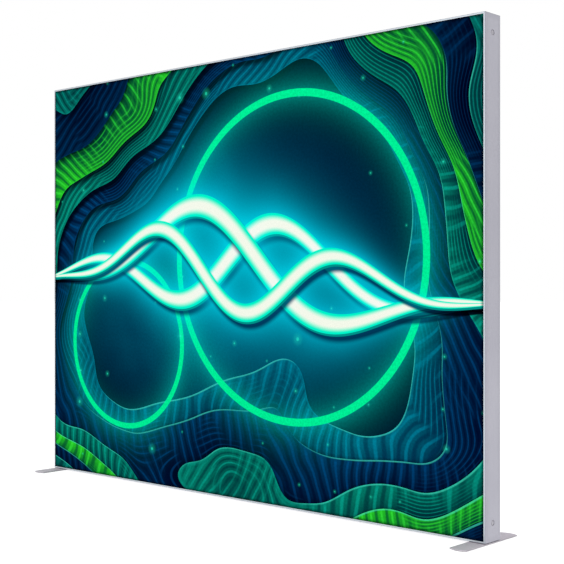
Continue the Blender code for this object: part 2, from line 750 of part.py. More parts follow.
def make_foot_bolt(side, sign):
    """Countersunk bolt up through the plate into a hexagon nut in the corner connector."""
    bolt = turned_piece(f"foot_bolt_{side}", [
        (0, BOLT_TOP),
        (BOLT_RADIUS - BOLT_END_CHAMFER, BOLT_TOP),
        (BOLT_RADIUS, BOLT_TOP - BOLT_END_CHAMFER),
        (BOLT_RADIUS, PLATE_BASE + BOLT_HEAD_HEIGHT),
        (BOLT_HEAD_RADIUS, PLATE_BASE),
        (0, PLATE_BASE),
    ])
    bolt.location = (FOOT_X * sign, 0, 0)
    finish(smooth_round(bolt), "fastener")

    nut_name = f"foot_nut_{side}"
    corner_radius = NUT_ACROSS_FLATS / 2 / math.cos(math.pi / 6)
    loops = [circle(corner_radius, 6), circle(BOLT_RADIUS + FIT)]
    nut = place(nut_name, extruded_mesh(nut_name, loops, NUT_HEIGHT))
    nut.location = (FOOT_X * sign, 0, NUT_BASE + NUT_HEIGHT / 2)
    finish(nut, "fastener")


def make_driver():
    """Power supply screwed by its ears to the inside of the left upright."""
    ears = DRIVER_EAR_LENGTH
    outline = [
        (0, -ears), (DRIVER_EAR_THICKNESS, -ears), (DRIVER_EAR_THICKNESS, 0),
        (DRIVER_HEIGHT, 0), (DRIVER_HEIGHT, DRIVER_LENGTH),
        (DRIVER_EAR_THICKNESS, DRIVER_LENGTH), (DRIVER_EAR_THICKNESS, DRIVER_LENGTH + ears),
        (0, DRIVER_LENGTH + ears),
    ]
    driver = place("power_driver", extruded_mesh("power_driver", [outline], DRIVER_WIDTH))
    driver.location = (INNER_LEFT, 0, DRIVER_BASE)
    driver.rotation_euler = (math.pi / 2, 0, 0)
    for end, height in (("lower", DRIVER_BASE - ears / 2), ("upper", DRIVER_TOP + ears / 2)):
        cut_round(driver, f"driver_screw_hole_{end}",
                  (INNER_LEFT - CUT_OVERRUN, 0, height),
                  (INNER_LEFT + DRIVER_EAR_THICKNESS + CUT_OVERRUN, 0, height),
                  DRIVER_SCREW_RADIUS)
    finish(driver, "driver")


def make_inlet():
    """Mains inlet behind a window in the left upright, with three contacts in its socket."""
    outer = -HALF_WIDTH + FIT

    def span(near, far, width, length):
        low = (near, -width / 2, INLET_HEIGHT - length / 2)
        high = (far, width / 2, INLET_HEIGHT + length / 2)
        return low, high

    name = "power_inlet"
    inlet = place(name, box_mesh(name, *span(outer, outer + INLET_DEPTH,
                                             INLET_WIDTH, INLET_LENGTH)))
    flange = -HALF_WIDTH + WEB + FIT
    add_box(inlet, "inlet_flange", *span(flange, flange + INLET_FLANGE_THICKNESS,
                                         INLET_FLANGE_WIDTH, INLET_FLANGE_LENGTH))
    floor = outer + SOCKET_DEPTH
    cut_box(inlet, "inlet_socket", *span(outer - CUT_OVERRUN, floor,
                                         SOCKET_WIDTH, SOCKET_LENGTH))
    for index, (along, across) in enumerate(((-1, -1), (0, 1), (1, -1))):
        low, high = span(outer + CONTACT_RECESS, floor + CUT_OVERRUN,
                         CONTACT_LENGTH, CONTACT_WIDTH)
        shift = Vector((0, across * CONTACT_OFFSET, along * CONTACT_SPREAD))
        add_box(inlet, f"inlet_contact_{index}", Vector(low) + shift, Vector(high) + shift)
    finish(inlet, "inlet")


def make_leads():
    """Leads inside the wall: inlet to driver, and driver to the nearest light bars."""
    driver_middle = INNER_LEFT + DRIVER_HEIGHT / 2
    inlet_back = -HALF_WIDTH + FIT + INLET_DEPTH + FIT
    route = [(inlet_back, 0, INLET_HEIGHT), (driver_middle, 0, INLET_HEIGHT),
             (driver_middle, 0, DRIVER_TOP + FIT)]
    finish(wire("mains_lead", rounded_path(route, LEAD_BEND_RADIUS),
                MAINS_LEAD_RADIUS, LEAD_RESOLUTION), "lead")

    bar_end = -HALF_WIDTH + BAR_CORNER_SPACE + FIT / 2 - FIT
    tray_middle = BAR_SEAT + BAR_TRAY / 2
    low_bar = FRAME_BASE + tray_middle
    high_bar = FRAME_TOP - tray_middle
    across = LIGHT_LEAD_OFFSET
    route = [(driver_middle, across, DRIVER_BASE - FIT), (driver_middle, across, low_bar),
             (bar_end, across, low_bar)]
    finish(wire("light_lead_bottom", rounded_path(route, LEAD_BEND_RADIUS),
                LIGHT_LEAD_RADIUS, LEAD_RESOLUTION), "lead")

    beside_wall = INNER_LEFT + LIGHT_LEAD_RADIUS
    rise = DRIVER_TOP + DRIVER_WIDTH
    route = [(driver_middle, across, DRIVER_TOP + FIT),
             (driver_middle, across, DRIVER_TOP + LEAD_BEND_RADIUS),
             (beside_wall, across, rise),
             (beside_wall, across, high_bar), (bar_end, across, high_bar)]
    finish(wire("light_lead_top", rounded_path(route, LEAD_BEND_RADIUS),
                LIGHT_LEAD_RADIUS, LEAD_RESOLUTION), "lead")


def build():
    make_rails()
    make_uprights()
    make_joiners()
    for level, rise in LEVELS:
        for side, sign in SIDES:
            make_corner(level, rise, side, sign)
            make_lock_button(level, side, sign)
            make_lock_spring(level, side, sign)
    make_fabric("front_print", "front_silicone_strip", -1, "print")
    make_fabric("rear_lining", "rear_silicone_strip", 1, "lining")
    make_light_bars()
    make_braces()
    for side, sign in SIDES:
        make_foot(side, sign)
        make_foot_bolt(side, sign)
    make_driver()
    make_inlet()
    make_leads()


build()
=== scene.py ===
# Lightbox display wall: frame finishes, stretched fabrics, lights inside the wall and a white studio
import math

import bmesh
import bpy
from mathutils import Matrix, Vector


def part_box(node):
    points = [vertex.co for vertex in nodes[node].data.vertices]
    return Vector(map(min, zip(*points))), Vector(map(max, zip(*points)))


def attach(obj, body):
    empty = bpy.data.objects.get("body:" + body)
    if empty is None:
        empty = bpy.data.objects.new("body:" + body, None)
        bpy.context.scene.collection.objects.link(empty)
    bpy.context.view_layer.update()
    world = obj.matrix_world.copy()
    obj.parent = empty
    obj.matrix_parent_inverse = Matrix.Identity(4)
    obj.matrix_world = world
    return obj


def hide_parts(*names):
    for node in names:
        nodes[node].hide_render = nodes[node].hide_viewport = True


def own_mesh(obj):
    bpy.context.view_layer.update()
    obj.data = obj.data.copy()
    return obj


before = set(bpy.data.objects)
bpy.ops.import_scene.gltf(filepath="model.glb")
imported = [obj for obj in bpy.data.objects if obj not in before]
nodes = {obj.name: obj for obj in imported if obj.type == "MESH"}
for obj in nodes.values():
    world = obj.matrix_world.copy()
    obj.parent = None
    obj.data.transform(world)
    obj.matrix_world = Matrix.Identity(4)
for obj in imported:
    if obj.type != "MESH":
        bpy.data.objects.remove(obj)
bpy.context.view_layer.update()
scene = bpy.context.scene
scene.view_settings.view_transform = "Standard"
print("frame loaded,", len(nodes), "pieces")


# Sizes that follow from the frame, and values that many lines share
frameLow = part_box("left_upright_lower")[0]
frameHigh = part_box("right_upright_upper")[1]
frameMiddle = (frameLow + frameHigh) / 2
frameHalf = (frameHigh - frameLow) / 2
sides = {"left": -1, "right": 1}
levels = {"bottom": 1, "top": -1}
wallCorners = [(f"{level}_{side}", sign) for level in levels for side, sign in sides.items()]
smoothAngle = math.radians(35)
origin = (0, 0, 0)
black = (0, 0, 0, 1)
white = (1, 1, 1, 1)


def middleHalf(name):  # middle and half size of a node's box
    low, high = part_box(name)
    return (low + high) / 2, (high - low) / 2


# Numbers and colours on their way through a node tree
class Signal:
    def __init__(self, socket):
        self.socket = socket
        self.tree = socket.id_data

    def node(self, kind, inputs, port=0, **settings):
        return read(put(self.tree, "ShaderNode" + kind, inputs, **settings), port)

    def math(self, kind, *others):
        return self.node("Math", dict(enumerate((self, *others))), operation=kind)

    def vector(self, kind, *others):
        port = "Value" if kind in ("LENGTH", "DISTANCE", "DOT_PRODUCT") else "Vector"
        return self.node("VectorMath", dict(enumerate((self, *others))), port, operation=kind)

    def __add__(self, other):
        return self.math("ADD", other)

    def __sub__(self, other):
        return self.math("SUBTRACT", other)

    def __mul__(self, other):
        return self.math("MULTIPLY", other)

    def __truediv__(self, other):
        return self.math("DIVIDE", other)

    def split(self):
        return [Signal(port) for port in put(self.tree, "ShaderNodeSeparateXYZ", {"Vector": self}).outputs]

    def smooth(self, low, high):  # 0 at low, 1 at high, eased at both ends
        inputs = {"Value": self, "From Min": low, "From Max": high}
        return self.node("MapRange", inputs, interpolation_type="SMOOTHSTEP")

    def scaled(self, low, high):  # 0..1 stretched to low..high
        return self.node("MapRange", {"Value": self, "To Min": low, "To Max": high})

    def blend(self, under, above, mode="MIX"):  # from one colour to another as this goes from 0 to 1
        inputs = {0: self, 6: under, 7: above}
        return self.node("Mix", inputs, 2, data_type="RGBA", blend_type=mode)

    def noise(self, size, detail=2.0, roughness=0.5, flat=False, port="Fac"):
        inputs = {"Vector": self, "Scale": 1 / size, "Detail": detail, "Roughness": roughness}
        return self.node("TexNoise", inputs, port, noise_dimensions="2D" if flat else "3D")

    def cells(self, feature):  # distances within cells one unit wide
        return self.node("TexVoronoi", {"Vector": self, "Scale": 1.0}, "Distance", feature=feature)

    def over(self, size):  # a place counted in steps of this size
        return self.vector("DIVIDE", put(self.tree, "ShaderNodeCombineXYZ", {axis: size for axis in "XYZ"}))

    def use(self, group, **inputs):  # what the group makes of this place
        return self.node("Group", {"Place": self, **inputs}, node_tree=group)

    def times(self, amount):  # a colour made stronger or weaker
        return self.node("VectorMath", {0: self, "Scale": amount}, operation="SCALE")


def tint(screenColor):  # 0..255 to the linear values that shaders take
    shares = [part / 255 for part in screenColor]
    return [share / 12.92 if share <= 0.04045 else ((share + 0.055) / 1.055) ** 2.4 for share in shares] + [1]


def feed(plug, value):  # a node gives its first output, three numbers on a colour plug are a screen colour
    if isinstance(value, bpy.types.Node):
        value = value.outputs[0]
    elif isinstance(value, Signal):
        value = value.socket
    if isinstance(value, bpy.types.NodeSocket):
        plug.id_data.links.new(value, plug)
    elif plug.type == "RGBA" and len(value) == 3:
        plug.default_value = tint(value)
    else:
        plug.default_value = value


def fill(node, inputs):
    for name, value in inputs.items():
        feed(node.inputs[name], value)


def put(tree, kind, inputs=None, **settings):
    node = tree.nodes.new(kind)
    for name, value in settings.items():
        setattr(node, name, value)
    fill(node, inputs or {})
    return node


def read(node, port=0):
    return Signal(node.outputs[port])


def linked(node, name):  # what feeds this plug so far
    return Signal(node.inputs[name].links[0].from_socket)


def newGroup(name, *outputs, **inputs):  # gives its end, its place and its other inputs
    tree = bpy.data.node_groups.new(name, "ShaderNodeTree")
    for label, value in {"Place": origin, **inputs}.items():
        kind = {3: "Vector", 4: "Color"}[len(value)] if isinstance(value, tuple) else "Float"
        plug = tree.interface.new_socket(label, in_out="INPUT", socket_type="NodeSocket" + kind)
        plug.default_value = value
    for label in outputs:
        kind = "Color" if label == "Color" else "Float"
        tree.interface.new_socket(label, in_out="OUTPUT", socket_type="NodeSocket" + kind)
    start = tree.nodes.new("NodeGroupInput")
    return tree.nodes.new("NodeGroupOutput"), *(read(start, label) for label in ("Place", *inputs))


def closeGroup(end, **outputs):
    fill(end, outputs)
    return end.id_data


# Effects that several materials share
def makeLineGrain():  # fine lines drawn out along one direction
    end, place, stretch = newGroup("line grain", "Grain", Stretch=(4, 900, 900))
    drawn = place.vector("MULTIPLY", stretch)
    fine = drawn.noise(1, detail=3, roughness=0.65)
    broad = drawn.vector("MULTIPLY", (1, 0.12, 0.12)).noise(1, detail=1)
    return closeGroup(end, Grain=fine * 0.7 + broad * 0.3)


def makeMottle():  # cloudy variation of a finish
    end, place, size = newGroup("mottle", "Mottle", Size=0.2)
    clouds = place.over(size).noise(1, detail=4, roughness=0.55)
    return closeGroup(end, Mottle=clouds.smooth(0.25, 0.75))


def makeFineSkin():  # grain of moulded plastic, rubber or blasted metal
    end, place, size = newGroup("fine skin", "Height", Size=0.0006)
    spot = place.over(size)
    return closeGroup(end, Height=spot.cells("SMOOTH_F1") * 0.6 + spot.noise(1.7) * 0.4)


def makeScratches():  # sparse hairline marks from handling, drawn out in three directions
    end, place, size = newGroup("scratches", "Marks", Size=0.05)
    patches = place.noise(0.4).smooth(0.52, 0.7)
    lines = []
    for angle, stretch in ((0.35, (1, 14, 1)), (1.25, (1, 18, 1)), (2.3, (14, 1, 1))):
        turned = place.node("VectorRotate", {"Vector": place, "Angle": angle, "Axis": (0.5, 0.6, 0.62)})
        cells = turned.vector("MULTIPLY", stretch).over(size).cells("DISTANCE_TO_EDGE")
        lines.append(cells.smooth(0.02, 0.0) * patches)
    return closeGroup(end, Marks=lines[0].math("MAXIMUM", lines[1]).math("MAXIMUM", lines[2]))


# Serves worn edges in a light colour, and painted shade along the edges where its colour is dark, as on the
# frame
def makeEdgeWear():  # a broken line along the edges of a box
    end, place, middle, half, width = newGroup(
        "edge wear and shade", "Wear", Middle=origin, Half=(1, 1, 1), Width=0.002)
    away = place.vector("SUBTRACT", middle).vector("ABSOLUTE")
    x, y, z = half.vector("SUBTRACT", away).split()
    second = x.math("MINIMUM", y).math("MAXIMUM", x.math("MAXIMUM", y).math("MINIMUM", z))
    broken = place.noise(0.03, detail=5, roughness=0.7).scaled(0.2, 1.5)
    return closeGroup(end, Wear=(second / (width * broken)).smooth(1.0, 0.4))


def makeWeave():  # plain weave in the plane of the wall
    end, place, pitch = newGroup("weave", "Height", "Shade", Pitch=0.001)
    x, _, z = place.split()
    warp, weft = ((across * math.tau / pitch).math("SINE") for across in (x, z))
    height = (warp * weft) * 0.35 + 0.5 + place.noise(0.012, detail=3) * 0.3
    # the Shade output is painted shade of the relief: darker where the weave lies low, lighter where it rises
    return closeGroup(end, Height=height, Shade=height.scaled(0.90, 1.05))


lineGrain = makeLineGrain()
mottle = makeMottle()
fineSkin = makeFineSkin()
scratches = makeScratches()
edgeWear = makeEdgeWear()
weave = makeWeave()
print("shader groups ready")


# Materials
def startMaterial(name):
    look = bpy.data.materials.new(name)
    look.use_nodes = True
    return look, look.node_tree.nodes["Principled BSDF"]


def objectPlace(shader, shift=origin):
    spot = put(shader.id_data, "ShaderNodeTexCoord").outputs["Object"]
    return read(put(shader.id_data, "ShaderNodeMapping", {"Vector": spot, "Location": shift}))


def bump(shader, height, depth, strength=0.5):
    inputs = {"Height": height, "Distance": depth, "Strength": strength}
    feed(shader.inputs["Normal"], put(shader.id_data, "ShaderNodeBump", inputs))


# Hard pieces are all laid up the same way; what their dictionaries leave out has its value here
def openMaterial(name, color, second, roughness, mottleSize, roughSpread=0.12, metallic=0.0, specular=0.5,
                 grain=None, grainDepth=0.0, grainTint=0.0, grainDark=0.55, grainRough=0.05,
                 skinSize=0.0006, skinDepth=0.0, scratchSize=0.0, scratchTint=0.25, scratchRough=0.12,
                 edges=None, wearAndShadeColor=(215, 215, 222), wearAndShadeLines=((0.0016, 0.5),), wearPolish=0.2,
                 paintedLipLight=None, lipDepth=0.0):
    look, shader = startMaterial(name)
    place = objectPlace(shader)
    clouds = place.use(mottle, Size=mottleSize)
    base = clouds.blend(color, second)
    rough = clouds.scaled(roughness - roughSpread / 2, roughness + roughSpread / 2)
    if grain:
        lines = place.use(lineGrain, Stretch=grain)
        dark = [part * grainDark for part in tint(color)[:3]] + [1]
        base = lines.scaled(0, grainTint).blend(base, dark)
        rough = rough + lines.scaled(-grainRough, grainRough)
        bump(shader, lines, grainDepth)
    if skinDepth:
        bump(shader, place.use(fineSkin, Size=skinSize), skinDepth)
    if scratchSize:
        marks = place.use(scratches, Size=scratchSize)
        rough = rough + marks * scratchRough
        base = (marks * scratchTint).blend(base, wearAndShadeColor)
    if edges:
        middle, half = edges
        # painted light: the faces at the front and back planes are painted lighter, standing in for the light
        # the lamps and the print throw on them
        if paintedLipLight:
            fromMiddle = place.vector("SUBTRACT", middle).vector("ABSOLUTE").split()[1]
            base = fromMiddle.math("GREATER_THAN", half.y - lipDepth).blend(base, paintedLipLight)
        # lines along the edges: worn edges where the colour is light, painted shade where it is dark, as on
        # the frame
        for width, amount in wearAndShadeLines:
            wornAndShaded = place.use(edgeWear, Middle=middle, Half=half, Width=width)
            base = (wornAndShaded * amount).blend(base, wearAndShadeColor)
            rough = rough - wornAndShaded * (amount * wearPolish)
    fill(shader, {"Base Color": base, "Roughness": rough, "Metallic": metallic,
                  "Specular IOR Level": specular})
    return look, shader


def hardMaterial(name, **values):
    return openMaterial(name, **values)[0]


def dress(look, *starts):  # every node whose name starts so
    for name, node in nodes.items():
        if name.startswith(starts):
            node.data.materials.clear()
            node.data.materials.append(look)


# Frame: satin anodised extrusion, its die lines along each length; painted shade darkens its edges and
# painted light brightens its front and back lips
frameFinish = dict(
    color=(185, 184, 194), second=(178, 177, 188), roughness=0.42, roughSpread=0.08,
    metallic=0.55, specular=0.4, mottleSize=0.5, grainDepth=0.00005, grainTint=0.24,
    # painted shade: a broad darkening in from the edges and a dark line along them; painted light: lighter
    # lips
    scratchSize=0.07, edges=(frameMiddle, frameHalf), wearAndShadeColor=(128, 130, 142),
    wearAndShadeLines=[(0.034, 0.16), (0.0026, 0.75)], paintedLipLight=(201, 209, 216), lipDepth=0.0003,
)
innerMetal = dict(
    color=(192, 193, 196), second=(176, 178, 183), roughness=0.36, metallic=0.9,
    mottleSize=0.12, grainDepth=0.00003, grainTint=0.25, scratchSize=0.04,
)
connectorNylon = dict(
    color=(38, 39, 42), second=(50, 51, 54), roughness=0.5, mottleSize=0.05,
    skinDepth=0.00005, skinSize=0.0007,
)
zincPlate = dict(
    color=(190, 192, 196), second=(168, 172, 180), roughness=0.32, metallic=0.95,
    mottleSize=0.01, skinDepth=0.00002, skinSize=0.0004,
)
boltThread = dict(pitch=0.00125, start=0.005, runOut=0.001, depth=0.0006)
acrossLine = 900
alongRails = (3, acrossLine, acrossLine)
alongUprights = (acrossLine, acrossLine, 3)


def threadedZinc():  # thread ridges above the bolt's countersunk head
    look, shader = openMaterial("threaded_zinc", **{**zincPlate, "skinDepth": 0})
    z = objectPlace(shader).split()[2]
    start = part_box("foot_bolt_left")[0].z + boltThread["start"]
    ridge = (z / boltThread["pitch"]).math("PINGPONG", 0.5)
    bump(shader, ridge * z.smooth(start, start + boltThread["runOut"]), boltThread["depth"], 1.0)
    return look


def dressFrame():
    dress(hardMaterial("anodised_rail", grain=alongRails, **frameFinish), "bottom_rail", "top_rail")
    dress(hardMaterial("anodised_upright", grain=alongUprights, **frameFinish), "left_upright_lower",
          "left_upright_upper", "right_upright_lower", "right_upright_upper")
    dress(hardMaterial("mill_aluminium_rail", grain=alongRails, **innerMetal), "bottom_joiner", "top_joiner")
    dress(hardMaterial("mill_aluminium_upright", grain=alongUprights, **innerMetal), "left_upright_joiner",
          "right_upright_joiner", "brace_left", "brace_right")
    dress(hardMaterial("connector_nylon", **connectorNylon), "corner_connector", "brace_saddle")
    dress(hardMaterial("zinc_plate", **zincPlate), "foot_nut")
    dress(threadedZinc(), "foot_bolt")


footFinish = dict(
    # painted light: the plate's colour leans to magenta to cancel the green light the print throws onto it
    color=(225, 218, 227), second=(215, 208, 217), roughness=0.6, metallic=0.05, specular=0.1,
    mottleSize=0.06, grain=(60, 700, 700), grainDepth=0.00005, grainTint=0.5,
    scratchSize=0.03, wearAndShadeColor=(170, 170, 176), wearAndShadeLines=[(0.0016, 0.6)],
)
padRubber = dict(
    color=(34, 34, 36), second=(48, 48, 50), roughness=0.85, mottleSize=0.04,
    skinDepth=0.0002, skinSize=0.0012,
)
washerNylon = dict(
    color=(60, 60, 63), second=(72, 72, 74), roughness=0.55, mottleSize=0.02,
    skinDepth=0.00004,
)


def dressFeet():
    for side in sides:
        plate = f"foot_plate_{side}"
        dress(hardMaterial(f"satin_steel_{side}", edges=middleHalf(plate), **footFinish), plate)
    dress(hardMaterial("pad_rubber", **padRubber), "foot_pad")
    dress(hardMaterial("washer_nylon", **washerNylon), "foot_washer")


siliconeStrip = dict(
    color=(212, 214, 214), second=(196, 199, 200), roughness=0.42, mottleSize=0.06,
    skinDepth=0.00003,
)
leadJacket = dict(
    color=(30, 30, 32), second=(42, 42, 44), roughness=0.5, mottleSize=0.03,
    skinDepth=0.00003,
)
driverCase = dict(
    color=(198, 200, 203), second=(184, 187, 192), roughness=0.4, metallic=0.8,
    mottleSize=0.08, grain=alongUprights, grainDepth=0.00003, grainTint=0.2,
    scratchSize=0.03,
)
inletHousing = dict(
    color=(28, 28, 30), second=(38, 38, 40), roughness=0.42, mottleSize=0.03,
    skinDepth=0.00004,
)
inletContacts = dict(
    color=(206, 190, 150), metallic=0.9, half=(0.0011, 0.0021), reach=(0.0055, 0.018),
    places=((-0.002, -0.007), (0.002, 0), (-0.002, 0.007)),
)


def inletMaterial():  # black housing, its three contacts in brass
    look, shader = openMaterial("inlet_plastic", **inletHousing)
    low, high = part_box("power_inlet")
    middle = (low + high) / 2
    x, y, z = objectPlace(shader, (-low.x, -middle.y, -middle.z)).split()
    halfY, halfZ = inletContacts["half"]
    near, far = inletContacts["reach"]
    masks = [(y - across).math("ABSOLUTE").math("LESS_THAN", halfY)
             * (z - height).math("ABSOLUTE").math("LESS_THAN", halfZ)
             for across, height in inletContacts["places"]]
    metal = masks[0].math("MAXIMUM", masks[1]).math("MAXIMUM", masks[2])
    metal = metal * x.math("GREATER_THAN", near) * x.math("LESS_THAN", far)
    fill(shader, {"Base Color": metal.blend(linked(shader, "Base Color"), inletContacts["color"]),
                  "Metallic": metal * inletContacts["metallic"]})
    return look


def dressPower():
    dress(hardMaterial("silicone", **siliconeStrip), "front_silicone", "rear_silicone")
    dress(hardMaterial("lead_jacket", **leadJacket), "mains_lead", "light_lead")
    dress(hardMaterial("driver_case", edges=middleHalf("power_driver"), **driverCase), "power_driver")
    dress(inletMaterial(), "power_inlet")


dressFrame()
dressFeet()
dressPower()
print("frame, feet and power pieces dressed")


# Meshes
def addObject(name, data):
    made = bpy.data.objects.new(name, data)
    scene.collection.objects.link(made)
    return made


def newPiece(name, mesh, look, body="wall_frame"):
    piece = addObject(name, mesh)
    mesh.materials.clear()
    mesh.materials.append(look)
    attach(piece, body)
    return piece


def takeMesh(holder):  # the holder's mesh with its modifiers taken in; the holder goes
    seen = holder.evaluated_get(bpy.context.evaluated_depsgraph_get())
    mesh = bpy.data.meshes.new_from_object(seen)
    bpy.data.objects.remove(holder, do_unlink=True)
    return mesh


def plainMesh(name, shape):
    mesh = bpy.data.meshes.new(name)
    shape.to_mesh(mesh)
    shape.free()
    return mesh


def smoothMesh(mesh):  # smooth but for its sharp edges
    mesh.shade_smooth()
    mesh.set_sharp_from_angle(angle=smoothAngle)
    return mesh


def meshFrom(name, shape):
    bmesh.ops.remove_doubles(shape, verts=shape.verts, dist=1e-6)
    bmesh.ops.recalc_face_normals(shape, faces=shape.faces)
    return smoothMesh(plainMesh(name, shape))


def ballMesh(name, half, segments, rings):  # a ball drawn out to three half sizes
    shape = bmesh.new()
    bmesh.ops.create_uvsphere(shape, u_segments=segments, v_segments=rings, radius=1)
    bmesh.ops.scale(shape, vec=half, verts=shape.verts)
    return meshFrom(name, shape)


def turnedMesh(name, profile, steps):  # profile points are (radius, distance along the upright axis)
    shape = bmesh.new()
    ring = [shape.verts.new((radius, 0, along)) for radius, along in profile]
    for first, last in zip(ring, ring[1:]):
        shape.edges.new((first, last))
    bmesh.ops.spin(shape, geom=shape.verts[:] + shape.edges[:], cent=origin, axis=(0, 0, 1),
                   angle=math.tau, steps=steps)
    return meshFrom(name, shape)


# Lock buttons, turned finely, with faint rings on their faces
lockButton = dict(
    capRadius=0.0095, capEdge=0.0012, skirtRadius=0.0130, wall=0.0025, skirt=0.012,
    gap=0.0003, frameWall=0.002, dish=0.0003, chamfer=0.0005, steps=48,
    ringPitch=0.0005, ringDepth=0.00002, ringStrength=0.6,
)
buttonLook = dict(
    color=(178, 176, 184), second=(168, 166, 175), roughness=0.4, metallic=0.45,
    mottleSize=0.01,
)


def buttonProfile():  # over the dished cap and its rounded edge to the skirt, and back inside its hollow
    button = lockButton
    cap, bend, dish = button["capRadius"], button["capEdge"], button["dish"]
    skirt, wall, chamfer = button["skirtRadius"], button["wall"], button["chamfer"]
    face = -button["gap"]
    shoulder = -button["frameWall"] - button["gap"]
    foot = shoulder - button["skirt"]
    edge = [(cap - bend * (1 - math.cos(turn)), face - bend * (1 - math.sin(turn)))
            for turn in (math.pi / 2, math.pi / 3, math.pi / 6, 0)]
    return [(0, face - dish), (cap * 0.55, face - dish * 0.7), *edge, (cap, shoulder),
            (skirt - chamfer, shoulder), (skirt, shoulder - chamfer), (skirt, foot), (skirt - wall, foot),
            (skirt - wall, shoulder - wall), (0, shoulder - wall)]


def makeButtons():
    profile = buttonProfile()
    for corner, sign in wallCorners:
        middle, _ = middleHalf(f"lock_button_{corner}")
        look, shader = openMaterial(f"satin_button_{corner}", **buttonLook)
        fromAxis = objectPlace(shader, (0, -middle.y, -middle.z)).vector("MULTIPLY", (0, 1, 1))
        rings = (fromAxis.vector("LENGTH") * (math.tau / lockButton["ringPitch"])).math("SINE")
        bump(shader, rings, lockButton["ringDepth"], lockButton["ringStrength"])
        mesh = turnedMesh(f"button_{corner}", profile, lockButton["steps"])
        mesh.transform(Matrix.Rotation(math.pi / 2, 4, "Y"))
        if sign < 0:
            mesh.transform(Matrix.Rotation(math.pi, 4, "Z"))
        mesh.transform(Matrix.Translation((frameHalf.x * sign, middle.y, middle.z)))
        piece = newPiece(f"button_{corner}", mesh, look, f"button_{corner}")
        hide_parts(f"lock_button_{corner}")


# Geometry Nodes: one tree for coils, one for whatever repeats along a path
def newGeometryTree(name, kinds):  # the tree and the ports of its start
    tree = bpy.data.node_groups.new(name, "GeometryNodeTree")
    for label, kind in {"Geometry": "Geometry", **kinds, "Look": "Material"}.items():
        tree.interface.new_socket(label, in_out="INPUT", socket_type="NodeSocket" + kind)
    tree.interface.new_socket("Geometry", in_out="OUTPUT", socket_type="NodeSocketGeometry")
    return tree, tree.nodes.new("NodeGroupInput").outputs


def closeGeometryTree(tree, made, look):
    real = put(tree, "GeometryNodeRealizeInstances", {"Geometry": made})
    painted = put(tree, "GeometryNodeSetMaterial", {"Geometry": real, "Material": look})
    feed(tree.nodes.new("NodeGroupOutput").inputs[0], painted)
    return tree


def runTree(name, tree, base, values):  # the tree's work on a base mesh as a plain mesh
    holder = addObject(name, base)
    step = holder.modifiers.new(name, "NODES")
    step.node_group = tree
    for item in tree.interface.items_tree:
        if item.in_out == "INPUT" and item.name in values:
            step[item.identifier] = values[item.name]
    return takeMesh(holder)


def makeCoilTree():
    tree, ports = newGeometryTree("coil", {"Turns": "Float", "Coil Radius": "Float", "Length": "Float",
                                           "Wire Radius": "Float", "Steps": "Int"})
    coil = put(tree, "GeometryNodeCurveSpiral", {
        "Resolution": ports["Steps"], "Rotations": ports["Turns"], "Start Radius": ports["Coil Radius"],
        "End Radius": ports["Coil Radius"], "Height": ports["Length"]})
    wire = put(tree, "GeometryNodeCurvePrimitiveCircle", {"Resolution": 10, "Radius": ports["Wire Radius"]})
    swept = put(tree, "GeometryNodeCurveToMesh", {"Curve": coil, "Profile Curve": wire, "Fill Caps": True})
    return closeGeometryTree(tree, swept, ports["Look"])


def makePathTree():  # copies of one piece along paths, turned to face a stored direction
    tree, ports = newGeometryTree("pieces along paths", {"Piece": "Object", "Count": "Int", "Pitch": "Float"})
    path = put(tree, "GeometryNodeMeshToCurve", {"Mesh": ports["Geometry"]})
    counted = put(tree, "GeometryNodeResampleCurve", {"Curve": path, "Count": ports["Count"]}, mode="COUNT")
    spaced = put(tree, "GeometryNodeResampleCurve", {"Curve": path, "Length": ports["Pitch"]}, mode="LENGTH")
    pitched = put(tree, "FunctionNodeCompare", {"A": ports["Pitch"], "B": 0.0}, data_type="FLOAT",
                  operation="GREATER_THAN")
    choice = put(tree, "GeometryNodeSwitch", {"Switch": pitched, "False": counted, "True": spaced},
                 input_type="GEOMETRY")
    facing = put(tree, "GeometryNodeInputNamedAttribute", {"Name": "facing"}, data_type="FLOAT_VECTOR")
    upright = put(tree, "FunctionNodeAlignRotationToVector", {"Vector": facing}, axis="Z")
    turned = put(tree, "FunctionNodeAlignRotationToVector", {
        "Rotation": upright, "Vector": put(tree, "GeometryNodeInputTangent")}, axis="X", pivot_axis="Z")
    piece = put(tree, "GeometryNodeObjectInfo", {"Object": ports["Piece"]})
    copies = put(tree, "GeometryNodeInstanceOnPoints", {
        "Points": choice, "Instance": piece.outputs["Geometry"], "Rotation": turned})
    return closeGeometryTree(tree, copies, ports["Look"])


coilTree = makeCoilTree()
pathTree = makePathTree()


def pathMesh(paths, closed):  # paths are (points, facing)
    points, edges, facings = [], [], []
    for corners, facing in paths:
        first = len(points)
        points += corners
        edges += [(point, point + 1) for point in range(first, len(points) - 1)]
        if closed:
            edges.append((len(points) - 1, first))
        facings += facing * len(corners)
    mesh = bpy.data.meshes.new("paths")
    mesh.from_pydata(points, edges, [])
    mesh.attributes.new("facing", "FLOAT_VECTOR", "POINT").data.foreach_set("vector", facings)
    return mesh


def alongPaths(name, pieceMesh, paths, look, count=2, pitch=0.0, closed=False):
    model = addObject(name + "_one", pieceMesh)
    mesh = runTree(name, pathTree, pathMesh(paths, closed), {
        "Piece": model, "Count": count, "Pitch": pitch, "Look": look})
    bpy.data.objects.remove(model, do_unlink=True)
    return newPiece(name, smoothMesh(mesh), look)


coilSpring = dict(
    coilRadius=0.0085, wireRadius=0.0006, turns=5.5, steps=32, floorDepth=0.0283,
    seatDepth=0.0048, clearance=0.0003, travel=0.0045,
)
springSteel = dict(
    color=(176, 178, 182), second=(150, 152, 158), roughness=0.28, metallic=1.0,
    mottleSize=0.004,
)


